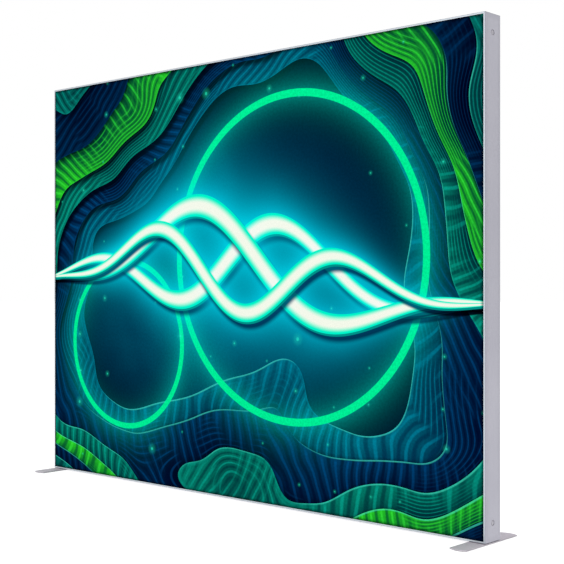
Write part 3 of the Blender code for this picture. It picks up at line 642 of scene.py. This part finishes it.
def makeSprings():
    spring = coilSpring
    look = hardMaterial("spring_steel", **springSteel)
    front = spring["seatDepth"] + spring["clearance"] + spring["wireRadius"]
    back = spring["floorDepth"] - spring["clearance"] - spring["wireRadius"]
    for corner, sign in wallCorners:
        middle, _ = middleHalf(f"lock_spring_{corner}")
        mesh = runTree(f"coil_{corner}", coilTree, bpy.data.meshes.new("coil"), {
            "Turns": spring["turns"], "Coil Radius": spring["coilRadius"], "Length": back - front,
            "Wire Radius": spring["wireRadius"], "Steps": spring["steps"], "Look": look})
        mesh.transform(Matrix.Rotation(-sign * math.pi / 2, 4, "Y"))
        mesh.transform(Matrix.Translation((sign * (frameHalf.x - front), middle.y, middle.z)))
        mesh.shade_smooth()
        piece = newPiece(f"button_spring_{corner}", mesh, look)
        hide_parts(f"lock_spring_{corner}")
        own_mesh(piece)


def screwMesh(radius, height, hexagon, steps=12):  # domed head with a hexagon socket, its seat at z = 0
    shape = bmesh.new()
    rims = [(radius, 0, steps), (radius, height * 0.45, steps), (radius * 0.72, height * 0.92, steps),
            (hexagon, height, 6), (hexagon, height * 0.3, 6)]
    rings = []
    for size, rise, count in rims:
        turns = [math.tau * step / count for step in range(count)]
        spots = [(size * math.cos(turn), size * math.sin(turn), rise) for turn in turns]
        rings.append([shape.verts.new(spot) for spot in spots])
    share = steps // 6
    for lower, upper in zip(rings[:2], rings[1:3]):
        for this in range(steps):
            after = (this + 1) % steps
            shape.faces.new((lower[this], lower[after], upper[after], upper[this]))
    shoulder, brim, pit = rings[2:]
    for this in range(6):
        after = (this + 1) % 6
        arc = [shoulder[(this * share + step) % steps] for step in range(share + 1)]
        shape.faces.new((*arc, brim[after], brim[this]))
        shape.faces.new((brim[this], brim[after], pit[after], pit[this]))
    shape.faces.new(pit)
    shape.faces.new(reversed(rings[0]))
    return meshFrom("screw", shape)


# Light bars: lens domes on their blocks, screws between them
lightBar = dict(
    tray=0.004, lensHeight=0.009, lensLength=0.022, width=0.024, lensesPerBar=12,
    domeHeight=0.003, domeInset=0.0016, screwRadius=0.0024, screwHeight=0.0016,
    socket=0.0011, lensFoot=(188, 206, 214), lensPolish=0.22, lacquer=0.2,
    lensStart=0.0001, clearness=0.6, bending=1.58,
)
trayLacquer = dict(color=(214, 216, 218), second=(200, 203, 206), roughness=0.42, mottleSize=0.05,
                   skinDepth=0.00002)
lensGlass = dict(color=(226, 236, 240), second=(214, 226, 232), roughness=0.16, roughSpread=0.06,
                 mottleSize=0.02)


def lightBarMaterial(seat, rise):  # lacquered tray below, frosted lens blocks above
    look, shader = openMaterial(f"light_bar_{'low' if rise > 0 else 'high'}", **trayLacquer)
    above = (objectPlace(shader).split()[2] - (seat + rise * lightBar["tray"])) * rise
    lens = above.math("GREATER_THAN", lightBar["lensStart"])
    glow = above.smooth(0, lightBar["lensHeight"]).blend(lightBar["lensFoot"], lensGlass["color"])
    fill(shader, {"Base Color": lens.blend(linked(shader, "Base Color"), glow),
                  "Roughness": linked(shader, "Roughness") - lens * lightBar["lensPolish"],
                  "Coat Weight": lightBar["lacquer"]})
    return look


def makeLightBars():
    bar = lightBar
    domes, screws = [], []
    for level, rise in levels.items():
        for third in ("left", "middle", "right"):
            low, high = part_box(f"light_bar_{level}_{third}")
            seat = low.z if rise > 0 else high.z
            pitch = (high.x - low.x) / bar["lensesPerBar"]
            top = seat + rise * (bar["tray"] + bar["lensHeight"])
            for rows, inset, z in ((domes, pitch / 2, top), (screws, pitch, seat + rise * bar["tray"])):
                rows.append(([(low.x + inset, 0, z), (high.x - inset, 0, z)], (0, 0, rise)))
        dress(lightBarMaterial(seat, rise), f"light_bar_{level}")
    glass, shader = openMaterial("lens_polycarbonate", **lensGlass)
    fill(shader, {"Transmission Weight": bar["clearness"], "IOR": bar["bending"]})
    half = (bar["lensLength"] / 2 - bar["domeInset"], bar["width"] / 2 - bar["domeInset"], bar["domeHeight"])
    alongPaths("lens_domes", ballMesh("lens_dome", half, 16, 8), domes, glass,
               count=bar["lensesPerBar"])
    alongPaths("light_bar_screws", screwMesh(bar["screwRadius"], bar["screwHeight"], bar["socket"]), screws,
               hardMaterial("bar_screw_zinc", **zincPlate), count=bar["lensesPerBar"] - 1)


# Clamp screws through the inner walls of the rails and uprights, over joiners and corner legs
clampScrew = dict(radius=0.0032, height=0.0011, hexagon=0.0015, across=0.028, wallDepth=0.038,
                  fromJoint=(0.045, 0.135), fromEnd=(0.062, 0.132))


def makeClampScrews():
    screw = clampScrew
    fromJoint, fromEnd = screw["fromJoint"], screw["fromEnd"]
    joints = (frameLow.x + frameHalf.x * 2 / 3, frameHigh.x - frameHalf.x * 2 / 3)
    paths = []
    for rise in levels.values():
        z = (frameLow.z + screw["wallDepth"]) if rise > 0 else (frameHigh.z - screw["wallDepth"])
        rows = [(joint, way, fromJoint) for joint in joints for way in (-1, 1)]
        rows += [(sign * frameHalf.x, -sign, fromEnd) for sign in sides.values()]
        for y in (-screw["across"], screw["across"]):
            paths += [([(x + way * step, y, z) for step in steps], (0, 0, rise)) for x, way, steps in rows]
    for sign in sides.values():
        x = sign * (frameHalf.x - screw["wallDepth"])
        for y in (-screw["across"], screw["across"]):
            for way in (-1, 1):
                end = frameMiddle.z + way * frameHalf.z
                for z, turn, steps in ((frameMiddle.z, way, fromJoint), (end, -way, fromEnd)):
                    paths.append(([(x, y, z + turn * step) for step in steps], (-sign, 0, 0)))
    alongPaths("clamp_screws", screwMesh(screw["radius"], screw["height"], screw["hexagon"]), paths,
               hardMaterial("clamp_screw_zinc", **zincPlate))


# Power supply: cooling ribs, ear screws and glands
driverTrim = dict(
    ribs=9, ribWidth=0.0018, ribHeight=0.0022, ribInset=0.004, ribBevel=0.0005,
    earLength=0.016, earThickness=0.003, screwRadius=0.0042, screwHeight=0.0026,
    socket=0.0018, screwSteps=18,
)
gland = dict(wall=0.0019, height=0.009, slack=0.0001, step=0.0004, nose=0.0006, mains=0.0033,
             light=0.0018, lightOffset=0.0095, stepStart=0.35, stepEnd=0.4, steps=24)


def ribMesh(sizes, bevel):
    shape = bmesh.new()
    bmesh.ops.create_cube(shape, size=1)
    bmesh.ops.scale(shape, vec=sizes, verts=shape.verts)
    bmesh.ops.bevel(shape, geom=shape.edges[:], offset=bevel, segments=2, affect="EDGES", profile=0.5)
    return meshFrom("rib", shape)


def makeDriverTrim():
    trim = driverTrim
    ear = trim["earLength"]
    low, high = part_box("power_driver")
    bottom, top = low.z + ear, high.z - ear
    middle = (bottom + top) / 2
    reach = (high.y - low.y) / 2 - trim["ribInset"]
    rib = ribMesh((trim["ribWidth"], top - bottom - 2 * trim["ribInset"], 2 * trim["ribHeight"]),
                  trim["ribBevel"])
    ribPath = [(high.x, -reach, middle), (high.x, reach, middle)]
    alongPaths("driver_ribs", rib, [(ribPath, (1, 0, 0))], hardMaterial("driver_ribs", **driverCase),
               count=trim["ribs"])
    screw = screwMesh(trim["screwRadius"], trim["screwHeight"], trim["socket"], trim["screwSteps"])
    ears = [(low.x + trim["earThickness"], 0, z) for z in (low.z + ear / 2, high.z - ear / 2)]
    alongPaths("driver_ear_screws", screw, [(ears, (1, 0, 0))], hardMaterial("ear_screw_zinc", **zincPlate))
    makeGlands(low.x + (high.x - low.x) / 2, bottom, top)


def makeGlands(x, bottom, top):  # a ring round each lead where it enters the driver
    nylon = hardMaterial("gland_nylon", **connectorNylon)
    height = gland["height"]
    mains, light, aside = gland["mains"], gland["light"], gland["lightOffset"]
    for name, across, radius, seat, way in (("mains", 0, mains, top, 1), ("light_top", aside, light, top, 1),
                                            ("light_bottom", aside, light, bottom, -1)):
        bore = radius + gland["slack"]
        outer = radius + gland["wall"]
        profile = [(bore, 0), (outer, 0), (outer, height * gland["stepStart"]),
                   (outer - gland["step"], height * gland["stepEnd"]), (bore + gland["nose"], height),
                   (bore, height), (bore, 0)]
        mesh = turnedMesh(f"gland_{name}", profile, gland["steps"])
        if way < 0:
            mesh.transform(Matrix.Rotation(math.pi, 4, "X"))
        mesh.transform(Matrix.Translation((x, across, seat)))
        newPiece(f"gland_{name}", mesh, nylon)


# Clips that hold the upper light lead against the left upright
leadClip = dict(half=0.0065, length=0.009, strap=0.0011, lead=0.0018, slack=0.0001,
                heights=(0.62, 2.1), count=6, arcSteps=10)


def clipMesh():  # outline across the lead, extruded along it
    half, strap, lead, length = (leadClip[key] for key in ("half", "strap", "lead", "length"))
    inner = lead + leadClip["slack"]
    outer = inner + strap
    turns = [math.pi * step / leadClip["arcSteps"] for step in range(leadClip["arcSteps"] + 1)]
    over = [(outer * math.cos(turn), lead + outer * math.sin(turn)) for turn in turns]
    under = [(inner * math.cos(turn), lead + inner * math.sin(turn)) for turn in reversed(turns)]
    outline = [(half, 0), (half, strap), (outer, strap), *over, (-outer, strap), (-half, strap), (-half, 0),
               (-inner, 0), *under, (inner, 0)]
    shape = bmesh.new()
    shape.faces.new([shape.verts.new((-length / 2, y, z)) for y, z in outline])
    moved = bmesh.ops.extrude_face_region(shape, geom=shape.faces[:])["geom"]
    bmesh.ops.translate(shape, vec=(length, 0, 0),
                        verts=[part for part in moved if isinstance(part, bmesh.types.BMVert)])
    return meshFrom("clip", shape)


def makeLeadClips():
    low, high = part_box("light_lead_top")
    places = [(low.x, (low.y + high.y) / 2, z) for z in leadClip["heights"]]
    alongPaths("lead_clips", clipMesh(), [(places, (1, 0, 0))],
               hardMaterial("clip_nylon", **connectorNylon), count=leadClip["count"])


makeButtons()
makeSprings()
makeLightBars()
makeClampScrews()
makeDriverTrim()
makeLeadClips()
print("buttons, springs, lights and small parts made")


# Stretched fabrics
sheetShape = dict(
    thickness=0.00035, roll=0.0011, rollSteps=4, columns=190, rows=142,
    pucker=0.00022, puckerLength=0.105, puckerReach=0.045, wander=1.3, wanderTurns=2.3,
    held=0.012, billow=0.0005, billowLength=0.9, billowStretch=1.3, billowReach=0.25,
)


def gridSteps(low, high, count):  # positions along one edge, crowded where the cloth rolls over
    roll, rollSteps = sheetShape["roll"], sheetShape["rollSteps"]
    rolled = [roll * (1 - math.cos(math.pi / 2 * step / rollSteps)) for step in range(rollSteps)]
    inner = [low + roll + (high - low - 2 * roll) * step / count for step in range(count + 1)]
    return [low + step for step in rolled] + inner + [high - step for step in reversed(rolled)]


def sheetDepth(x, z, low, high):  # how far a point of the cloth lies behind its front plane
    sheet = sheetShape
    roll, length = sheet["roll"], sheet["billowLength"]
    fromSide = min(x - low.x, high.x - x)
    fromEnd = min(z - low.z, high.z - z)
    out = min(roll, math.hypot(max(0.0, roll - fromSide), max(0.0, roll - fromEnd)))
    rolled = roll - math.sqrt(roll ** 2 - out ** 2)
    ripple = 0.0
    for away, along, phase in ((fromSide, z, 0.7), (fromEnd, x, 2.1)):
        held = min(1.0, max(0.0, away / sheet["held"]))
        wander = sheet["wander"] * math.sin(along * sheet["wanderTurns"])
        wave = math.sin(math.tau * along / sheet["puckerLength"] + phase + wander)
        ripple += sheet["pucker"] * held * math.exp(-away / sheet["puckerReach"]) * (wave - 1)
    edge = min(1.0, min(fromSide, fromEnd) / sheet["billowReach"])
    slow = math.sin(math.tau * x / length) * math.sin(math.tau * z / (sheet["billowStretch"] * length))
    return rolled - ripple - sheet["billow"] * edge * (slow - 1) / 2


def makeSheet(name, node, look, sign):
    low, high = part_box(node)
    face = high.y if sign > 0 else low.y
    xs = gridSteps(low.x, high.x, sheetShape["columns"])
    zs = gridSteps(low.z, high.z, sheetShape["rows"])
    shape = bmesh.new()
    grid = [[shape.verts.new((x, face - sign * sheetDepth(x, z, low, high), z)) for x in xs] for z in zs]
    for lower, upper in zip(grid, grid[1:]):
        for left in range(len(xs) - 1):
            corners = (lower[left], lower[left + 1], upper[left + 1], upper[left])
            shape.faces.new(corners if sign < 0 else corners[::-1])
    mesh = plainMesh(name, shape)
    mesh.shade_smooth()
    holder = addObject(name + "_face", mesh)
    thick = holder.modifiers.new("cloth", "SOLIDIFY")
    thick.thickness = sheetShape["thickness"]
    thick.offset = -1
    solid = takeMesh(holder)
    layOutSheet(solid, low, high, sign)
    piece = newPiece(name, solid, look)
    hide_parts(node)


sheetLayout = dict(margin=0.01, backStart=0.79, backHeight=0.13, rimStart=0.94, rimHeight=0.04,
                   facing=0.3)


def layOutSheet(mesh, low, high, sign):  # the face takes most of the map, the back and the rim a strip each
    layout = sheetLayout
    margin = layout["margin"]
    spanX = high.x - low.x
    spanZ = high.z - low.z
    wide = 1 - 2 * margin
    layer = mesh.uv_layers.new(name="OFBake")
    for face in mesh.polygons:
        facing = face.normal.y * sign
        for loop in face.loop_indices:
            point = mesh.vertices[mesh.loops[loop].vertex_index].co
            rise = (point.z - low.z) / spanZ
            if facing > layout["facing"]:
                v = margin + wide * rise * spanZ / spanX
            elif facing < -layout["facing"]:
                v = layout["backStart"] + layout["backHeight"] * rise
            else:
                v = layout["rimStart"] + layout["rimHeight"] * rise
            layer.data[loop].uv = (margin + wide * (point.x - low.x) / spanX, v)


# The print: layered paper waves round a calm blue middle, two neon rings and a braid of lit tubes
printGround = dict(
    deep=(0, 14, 42), night=(0, 34, 72), calm=(0, 86, 112), lit=(0, 132, 156),
    middle=(-0.1, 0.0, 0), shape=(1 / 1.7, 1 / 1.15, 0), beamSize=0.9, beams=0.7,
    cast=(0, 6, 24), paperSize=0.012, paperShade=0.2,
    ringLevel=2, topLevel=99, lowShade=0.8, highShade=0.6,
)
waveShape = dict(
    reach=(1.49, 1.28, 1), border=1.06, start=0.70, layers=7.4, bend=0.42, bendSize=1.1,
    waves=[dict(along=(2.5, 1.7, 0), swing=0.155, drift=3.4, size=1.2, phase=0.4),
           dict(along=(-2.1, 3.3, 0), swing=0.125, drift=3.0, size=0.9, phase=2.1),
           dict(along=(5.6, -2.7, 0), swing=0.045, drift=3.6, size=0.7, phase=4.0)],
)
paperShape = dict(
    colors=[((0, 46, 78), (0, 104, 128)), ((0, 10, 44), (0, 54, 98)), ((0, 52, 60), (4, 138, 116)),
            ((0, 66, 52), (40, 212, 40)), ((0, 6, 34), (0, 40, 76)), ((0, 40, 52), (4, 118, 106)),
            ((0, 8, 38), (0, 52, 88)), ((0, 64, 50), (16, 178, 74)), ((0, 6, 28), (0, 32, 60)),
            ((0, 38, 46), (0, 102, 92))],
    patchSize=0.55, slant=(88, 66), slantBend=7, slantDrift=16, rows=44, rowDrift=9,
    shadowShift=(-0.026, 0.034, 0), glintShift=(-0.006, 0.008, 0), glint=(70, 230, 190),
    shadow=(0, 4, 16), grooves=0.7, veins=0.8, rim=0.6, glintShare=0.5, shadowShare=0.85,
    nearShare=0.4, rise=0.75, patchiness=1.3, darker=0.45,
)
neonRings = dict(
    line=(0, 255, 160), glow=(0, 150, 132), glowReach=0.06, glowShare=0.7, edge=0.0015,
    rings=[dict(Centre=(0.40, 0.10, 0), Radius=0.80, Width=0.038),
           dict(Centre=(-0.84, -0.36, 0), Radius=0.46, Width=0.030)],
)
glowTubes = dict(
    tubes=[dict(Height=0.27, Waves=3.7, Phase=0.2, Half=0.052),
           dict(Height=0.31, Waves=2.9, Phase=2.5, Half=0.060),
           dict(Height=0.24, Waves=4.4, Phase=4.4, Half=0.046)],
    reach=1.62, drift=0.11, driftWaves=1.5, driftPhase=2.4, thinnest=0.0004,
    castShift=(0.020, -0.030), wallShift=(0.006, -0.009), haloReach=1.6, haloShare=0.72,
    core=(250, 255, 240), rim=(0, 250, 206), wall=(0, 150, 140), glow=(0, 196, 226),
    cast=(0, 96, 128),
)
sparkDots = dict(cell=0.21, small=0.004, large=0.014, share=0.4, color=(40, 240, 190))


def makeNeonRing():  # a flat bright line with a soft glow round it
    end, place, centre, radius, width, under = newGroup(
        "neon ring", "Color", Centre=origin, Radius=1.0, Width=0.04, Under=black)
    ring = neonRings
    outside = (place.vector("DISTANCE", centre) - radius).math("ABSOLUTE") - width * 0.5
    glow = (outside.math("MAXIMUM", 0) / -ring["glowReach"]).math("EXPONENT") * ring["glowShare"]
    line = outside.smooth(ring["edge"], -ring["edge"])
    return closeGroup(end, Color=line.blend(glow.blend(under, ring["glow"], "SCREEN"), ring["line"]))


def makeGlowTube():  # a thick lit tube that swings as a wave and thins at both ends
    end, place, height, waves, phase, halfWidth, reach, under = newGroup(
        "glow tube", "Color", Height=0.2, Waves=4.0, Phase=0.0, Half=0.05, Reach=1.0, Under=black)
    tube = glowTubes
    x, y, _ = place.split()

    def distance(shiftX, shiftY):  # in half widths of the tube, from its middle line
        along = x - shiftX
        share = (along / reach).math("ABSOLUTE").smooth(1.0, 0.0)
        angle = along * waves + phase
        swing = height * share
        slope = swing * waves * angle.math("COSINE")
        steep = (slope * slope + 1).math("SQRT")
        half = halfWidth * share.math("SQRT") + tube["thinnest"]
        return ((y - shiftY) - swing * angle.math("SINE")).math("ABSOLUTE") / steep / half, share

    away, share = distance(0, 0)
    cast, _ = distance(*tube["castShift"])
    wall, _ = distance(*tube["wallShift"])
    there = share.smooth(0.0, 0.02)
    halo = ((away - 1).math("MAXIMUM", 0) / -tube["haloReach"]).math("EXPONENT") * share.smooth(0.0, 0.5)
    lit = (halo * tube["haloShare"]).blend(under, tube["glow"], "SCREEN")
    lit = (cast.smooth(1.4, 0.75) * there).blend(lit, tube["cast"], "MULTIPLY")
    lit = (wall.smooth(1.05, 0.98) * there).blend(lit, tube["wall"])
    lit = (away.smooth(1.03, 0.97) * there).blend(lit, tube["rim"])
    return closeGroup(end, Color=(away.smooth(0.84, 0.22) * there).blend(lit, tube["core"]))


def makeWaveField():  # rises from the calm middle to the borders of the print
    end, place = newGroup("wave field", "Field")
    field = waveShape
    push = place.noise(field["bendSize"], detail=0.5, flat=True, port="Color")
    bent = place.vector("ADD", push.vector("SUBTRACT", (0.5,) * 3).vector("MULTIPLY", (field["bend"],) * 3))
    total = place.vector("DIVIDE", field["reach"]).vector("LENGTH") * field["border"] - field["start"]
    for turn, wave in enumerate(field["waves"]):
        drift = place.vector("ADD", (3.7 * turn, 1.9 * turn, 0)).noise(wave["size"], detail=1, flat=True)
        phase = bent.vector("DOT_PRODUCT", wave["along"]) + drift * wave["drift"] + wave["phase"]
        total = total + phase.math("SINE") * wave["swing"]
    return closeGroup(end, Field=total * field["layers"])


def stepRamp(index, colors):  # one colour for each whole number from 0
    ramp = put(index.tree, "ShaderNodeValToRGB", {"Fac": (index + 0.5) / len(colors)})
    ramp.color_ramp.interpolation = "CONSTANT"
    stops = ramp.color_ramp.elements
    for spot in range(1, len(colors) - 1):
        stops.new(spot / len(colors))
    stops[-1].position = (len(colors) - 1) / len(colors)
    for stop, color in zip(stops, colors):
        stop.color = tint(color)
    return read(ramp)


def makePaperLayers():  # the layers between two levels, lit from the upper left
    end, place, field, shadowField, glintField, first, last, under = newGroup(
        "paper layers", "Color", Field=0.0, Shadow=0.0, Glint=0.0, First=0.0, Last=3.0, Under=black)
    paper = paperShape
    level = field.math("FLOOR").math("MINIMUM", len(paper["colors"]) - 1)
    share = field - level
    dark, light = (stepRamp(level, colors) for colors in zip(*paper["colors"]))
    patchy = place.noise(paper["patchSize"], detail=2, flat=True)
    color = (share * paper["rise"] + patchy * paper["patchiness"] - paper["darker"]).blend(light, dark)
    x, y, _ = place.split()
    acrossX, acrossY = paper["slant"]
    lean = (level * 0.5).math("FRACT") * 4 - 1
    slanted = (x * acrossX * lean + y * acrossY + share * paper["slantBend"]
               + patchy * paper["slantDrift"]).math("SINE")
    parallel = (share * paper["rows"] + patchy * paper["rowDrift"]).math("SINE")
    asSlanted, asParallel = patchy.smooth(0.62, 0.45), patchy.smooth(0.46, 0.6)
    grooves = slanted.smooth(-0.3, -1.0) * asSlanted + parallel.smooth(-0.3, -1.0) * asParallel
    veins = slanted.smooth(0.6, 1.0) * asSlanted + parallel.smooth(0.6, 1.0) * asParallel
    color = (grooves * paper["grooves"]).blend(color, dark)
    color = (veins * paper["veins"] * share.smooth(0.0, 0.14)).blend(color, light, "SCREEN")
    color = (share.smooth(0.06, 0.0) * paper["rim"]).blend(color, light, "SCREEN")
    glint = (level - glintField).smooth(0.0, 0.04) * paper["glintShare"]
    color = glint.blend(color, paper["glint"], "SCREEN")
    shadow = (shadowField - level - 1).smooth(-0.05, 0.20) * paper["shadowShare"]
    near = share.smooth(0.86, 1.0) * paper["nearShare"]
    color = shadow.math("MAXIMUM", near).blend(color, paper["shadow"])
    shown = field.math("GREATER_THAN", first) * field.math("LESS_THAN", last)
    return closeGroup(end, Color=shown.blend(under, color))


def makeSparks():  # small soft dots of light, one in some of the cells
    end, place, under = newGroup("sparks", "Color", Under=black)
    spark = sparkDots
    cells = put(place.tree, "ShaderNodeTexVoronoi", {"Vector": place, "Scale": 1 / spark["cell"],
                                                     "Randomness": 0.6}, voronoi_dimensions="2D")
    chance, size, _ = read(cells, "Color").split()
    radius = (size * size * size).scaled(spark["small"], spark["large"])
    away = read(cells, "Distance") * spark["cell"] / radius
    shine = (away.smooth(1.0, 0.35) * 0.7).math("MAXIMUM", away.smooth(3.0, 0.5) * 0.2)
    shine = shine * chance.math("LESS_THAN", spark["share"])
    return closeGroup(end, Color=shine.blend(under, spark["color"], "SCREEN"))


def shadeBelow(fields, level, share, under):  # the shadow of the layers from this level up on what is below
    shade = (fields["Shadow"] - level).smooth(-0.05, 0.2) * fields["Field"].math("LESS_THAN", level)
    return (shade * share).blend(under, printGround["cast"])


def printColor(place):
    ground = printGround
    away = place.vector("SUBTRACT", ground["middle"]).vector("MULTIPLY", ground["shape"]).vector("LENGTH")
    beams = place.noise(ground["beamSize"], detail=3, flat=True).smooth(0.45, 0.8)
    below = away.smooth(1.0, 0.15).blend(ground["deep"], ground["night"])
    below = away.smooth(0.85, 0.0).blend(below, ground["calm"])
    below = (beams * away.smooth(0.8, 0.1) * ground["beams"]).blend(below, ground["lit"])
    spots = {"Field": place, "Shadow": place.vector("ADD", paperShape["shadowShift"]),
             "Glint": place.vector("ADD", paperShape["glintShift"])}
    waveField, layers, ring, tube = makeWaveField(), makePaperLayers(), makeNeonRing(), makeGlowTube()
    fields = {label: spot.use(waveField) for label, spot in spots.items()}
    below = shadeBelow(fields, 0, ground["lowShade"], below)
    below = place.use(layers, **fields, First=0, Last=ground["ringLevel"], Under=below)
    for one in neonRings["rings"]:
        below = place.use(ring, **one, Under=below)
    below = shadeBelow(fields, ground["ringLevel"], ground["highShade"], below)
    above = place.use(layers, **fields, First=ground["ringLevel"], Last=ground["topLevel"], Under=below)
    above = place.use(makeSparks(), Under=above)
    paper = place.noise(ground["paperSize"], detail=3, roughness=0.7, flat=True).smooth(0.3, 0.7)
    above = (paper * ground["paperShade"]).blend(above, black)
    x, y, _ = place.split()
    drift = (x * glowTubes["driftWaves"] + glowTubes["driftPhase"]).math("SINE") * glowTubes["drift"]
    swung = place.node("CombineXYZ", {"X": x, "Y": y - drift})
    for one in glowTubes["tubes"]:
        above = swung.use(tube, **one, Reach=glowTubes["reach"], Under=above)
    return above


printFabric = dict(glow=0.66, base=0.30, pitch=0.0012, depth=0.00012, strength=0.5,
                   roughness=(0.8, 0.95), edgeShadeReach=0.018, edgeShadeFloor=0.25)
liningFabric = dict(color=(236, 237, 241), second=(231, 232, 237), thread=(208, 210, 217),
                    threadShare=0.55, mottleSize=0.4, pitch=0.0012, depth=0.00015, strength=0.6,
                    roughness=(0.78, 0.95))


def weaveIn(shader, place, fabric):  # gives relief and roughness; returns the weave's height and shade
    thread = put(place.tree, "ShaderNodeGroup", {"Place": place, "Pitch": fabric["pitch"]}, node_tree=weave)
    height = read(thread, "Height")
    feed(shader.inputs["Roughness"], height.scaled(*fabric["roughness"]))
    bump(shader, height, fabric["depth"], fabric["strength"])
    return height, read(thread, "Shade")


def printMaterial():
    look, shader = startMaterial("print_fabric")
    middle, half = middleHalf("front_print")
    spot = objectPlace(shader, (-middle.x, 0, -middle.z))
    x, _, z = spot.split()
    # painted shade: the print's colour and glow are darkened near its edges, where the lip shades the light
    # inside the box
    toSide = (x.math("ABSOLUTE") - half.x) * -1
    toEnd = (z.math("ABSOLUTE") - half.z) * -1
    paintedEdgeShade = toSide.math("MINIMUM", toEnd).smooth(0.0, printFabric["edgeShadeReach"])
    _, shade = weaveIn(shader, spot, printFabric)
    color = printColor(spot.node("CombineXYZ", {"X": x, "Y": z}))
    woven = color.times(shade * paintedEdgeShade.scaled(printFabric["edgeShadeFloor"], 1.0))
    fill(shader, {"Base Color": woven.times(printFabric["base"]), "Emission Color": woven,
                  "Emission Strength": printFabric["glow"], "Specular IOR Level": 0.0})
    return look


def liningMaterial():
    fabric = liningFabric
    look, shader = startMaterial("lining_fabric")
    place = objectPlace(shader)
    height, _ = weaveIn(shader, place, fabric)
    clouds = place.use(mottle, Size=fabric["mottleSize"])
    plain = clouds.blend(fabric["color"], fabric["second"])
    fill(shader, {"Base Color": height.scaled(0.0, fabric["threadShare"]).blend(plain, fabric["thread"]),
                  "Specular IOR Level": 0.2})
    return look


# Seam that holds each silicone strip to its fabric
seam = dict(pitch=0.006, length=0.0042, radius=0.00014, below=0.0024, inset=0.0029)
seamThread = dict(color=(226, 228, 230), second=(205, 208, 212), roughness=0.7, mottleSize=0.02)


def makeSeams():
    look = hardMaterial("seam_thread", **seamThread)
    stitch = ballMesh("stitch", (seam["length"] / 2, seam["radius"], seam["radius"]), 6, 4)
    inset = seam["inset"]
    for name, slotName, sign in (("front", "print_fabric", -1), ("rear", "lining_fabric", 1)):
        low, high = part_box(f"{name}_silicone_strip")
        y = sign * (frameHalf.y - seam["below"])
        left, right, bottom, top = low.x + inset, high.x - inset, low.z + inset, high.z - inset
        corners = [(left, y, bottom), (right, y, bottom), (right, y, top), (left, y, top)]
        alongPaths(f"{name}_seam", stitch, [(corners, (0, sign, 0))], look, pitch=seam["pitch"],
                   closed=True)


makeSheet("stretched_print", "front_print", printMaterial(), -1)
makeSheet("stretched_lining", "rear_lining", liningMaterial(), 1)
makeSeams()
print("fabrics stretched")


# Studio: white floor and surroundings, one key lamp in front and weaker ones round the wall
studio = dict(
    floorRadius=60, floorColor=(226, 226, 226), floorLift=0.72, floorDrop=0.0003,
    skyStrength=0.66,
    lamps=dict(
        key=dict(place=(0.5, -8.0, 4.6), size=4.0, power=260),
        right=dict(place=(8.0, -1.0, 3.6), size=4.0, power=62),
        back=dict(place=(1.5, 8.0, 4.6), size=4.0, power=75),
    ),
)


def whiteRays(tree):  # 1 for rays that should see the white surroundings
    path = put(tree, "ShaderNodeLightPath")
    seen = read(path, "Is Camera Ray").math("MAXIMUM", read(path, "Is Glossy Ray"))
    return seen.math("MAXIMUM", read(path, "Is Transmission Ray"))


def makeFloor():
    shape = bmesh.new()
    bmesh.ops.create_circle(shape, cap_ends=True, segments=96, radius=studio["floorRadius"])
    mesh = plainMesh("floor", shape)
    floor = addObject("floor", mesh)
    floor.location.z = -studio["floorDrop"]
    look, shader = startMaterial("floor_white")
    fill(shader, {"Base Color": studio["floorColor"], "Roughness": 1.0, "Specular IOR Level": 0.0,
                  "Emission Color": white,
                  "Emission Strength": whiteRays(look.node_tree) * studio["floorLift"]})
    mesh.materials.append(look)


def makeSurroundings():
    world = bpy.data.worlds.new("white_room")
    scene.world = world
    world.use_nodes = True
    seen = whiteRays(world.node_tree)
    fill(world.node_tree.nodes["Background"], {"Color": white,
                                               "Strength": seen.scaled(studio["skyStrength"], 1.0)})


def makeLamps():
    for name, lamp in studio["lamps"].items():
        light = bpy.data.lights.new(name, "AREA")
        light.shape = "SQUARE"
        light.size = lamp["size"]
        light.energy = lamp["power"]
        holder = addObject(name, light)
        holder.location = lamp["place"]
        aim = frameMiddle - holder.location
        holder.rotation_euler = aim.to_track_quat("-Z", "Y").to_euler()


# Camera at the photograph's viewpoint, held level
photoView = dict(focalPixels=1153.01, imagePixels=564, sensor=36, place=(4.1443, -4.2338, 1.1164),
                 yaw=42.347)


def makeCamera():
    yaw = math.radians(photoView["yaw"])
    ahead = Vector((-math.sin(yaw), math.cos(yaw), 0))
    right = Vector((math.cos(yaw), math.sin(yaw), 0))
    lens = bpy.data.cameras.new("photo_view")
    lens.sensor_fit = "HORIZONTAL"
    lens.sensor_width = photoView["sensor"]
    lens.lens = photoView["focalPixels"] / photoView["imagePixels"] * photoView["sensor"]
    lens.clip_end = 200
    camera = addObject("photo_view", lens)
    turn = Matrix((right, (0, 0, 1), -ahead)).transposed()
    camera.matrix_world = Matrix.Translation(photoView["place"]) @ turn.to_4x4()
    scene.camera = camera


makeFloor()
makeSurroundings()
makeLamps()
makeCamera()
print("studio set")
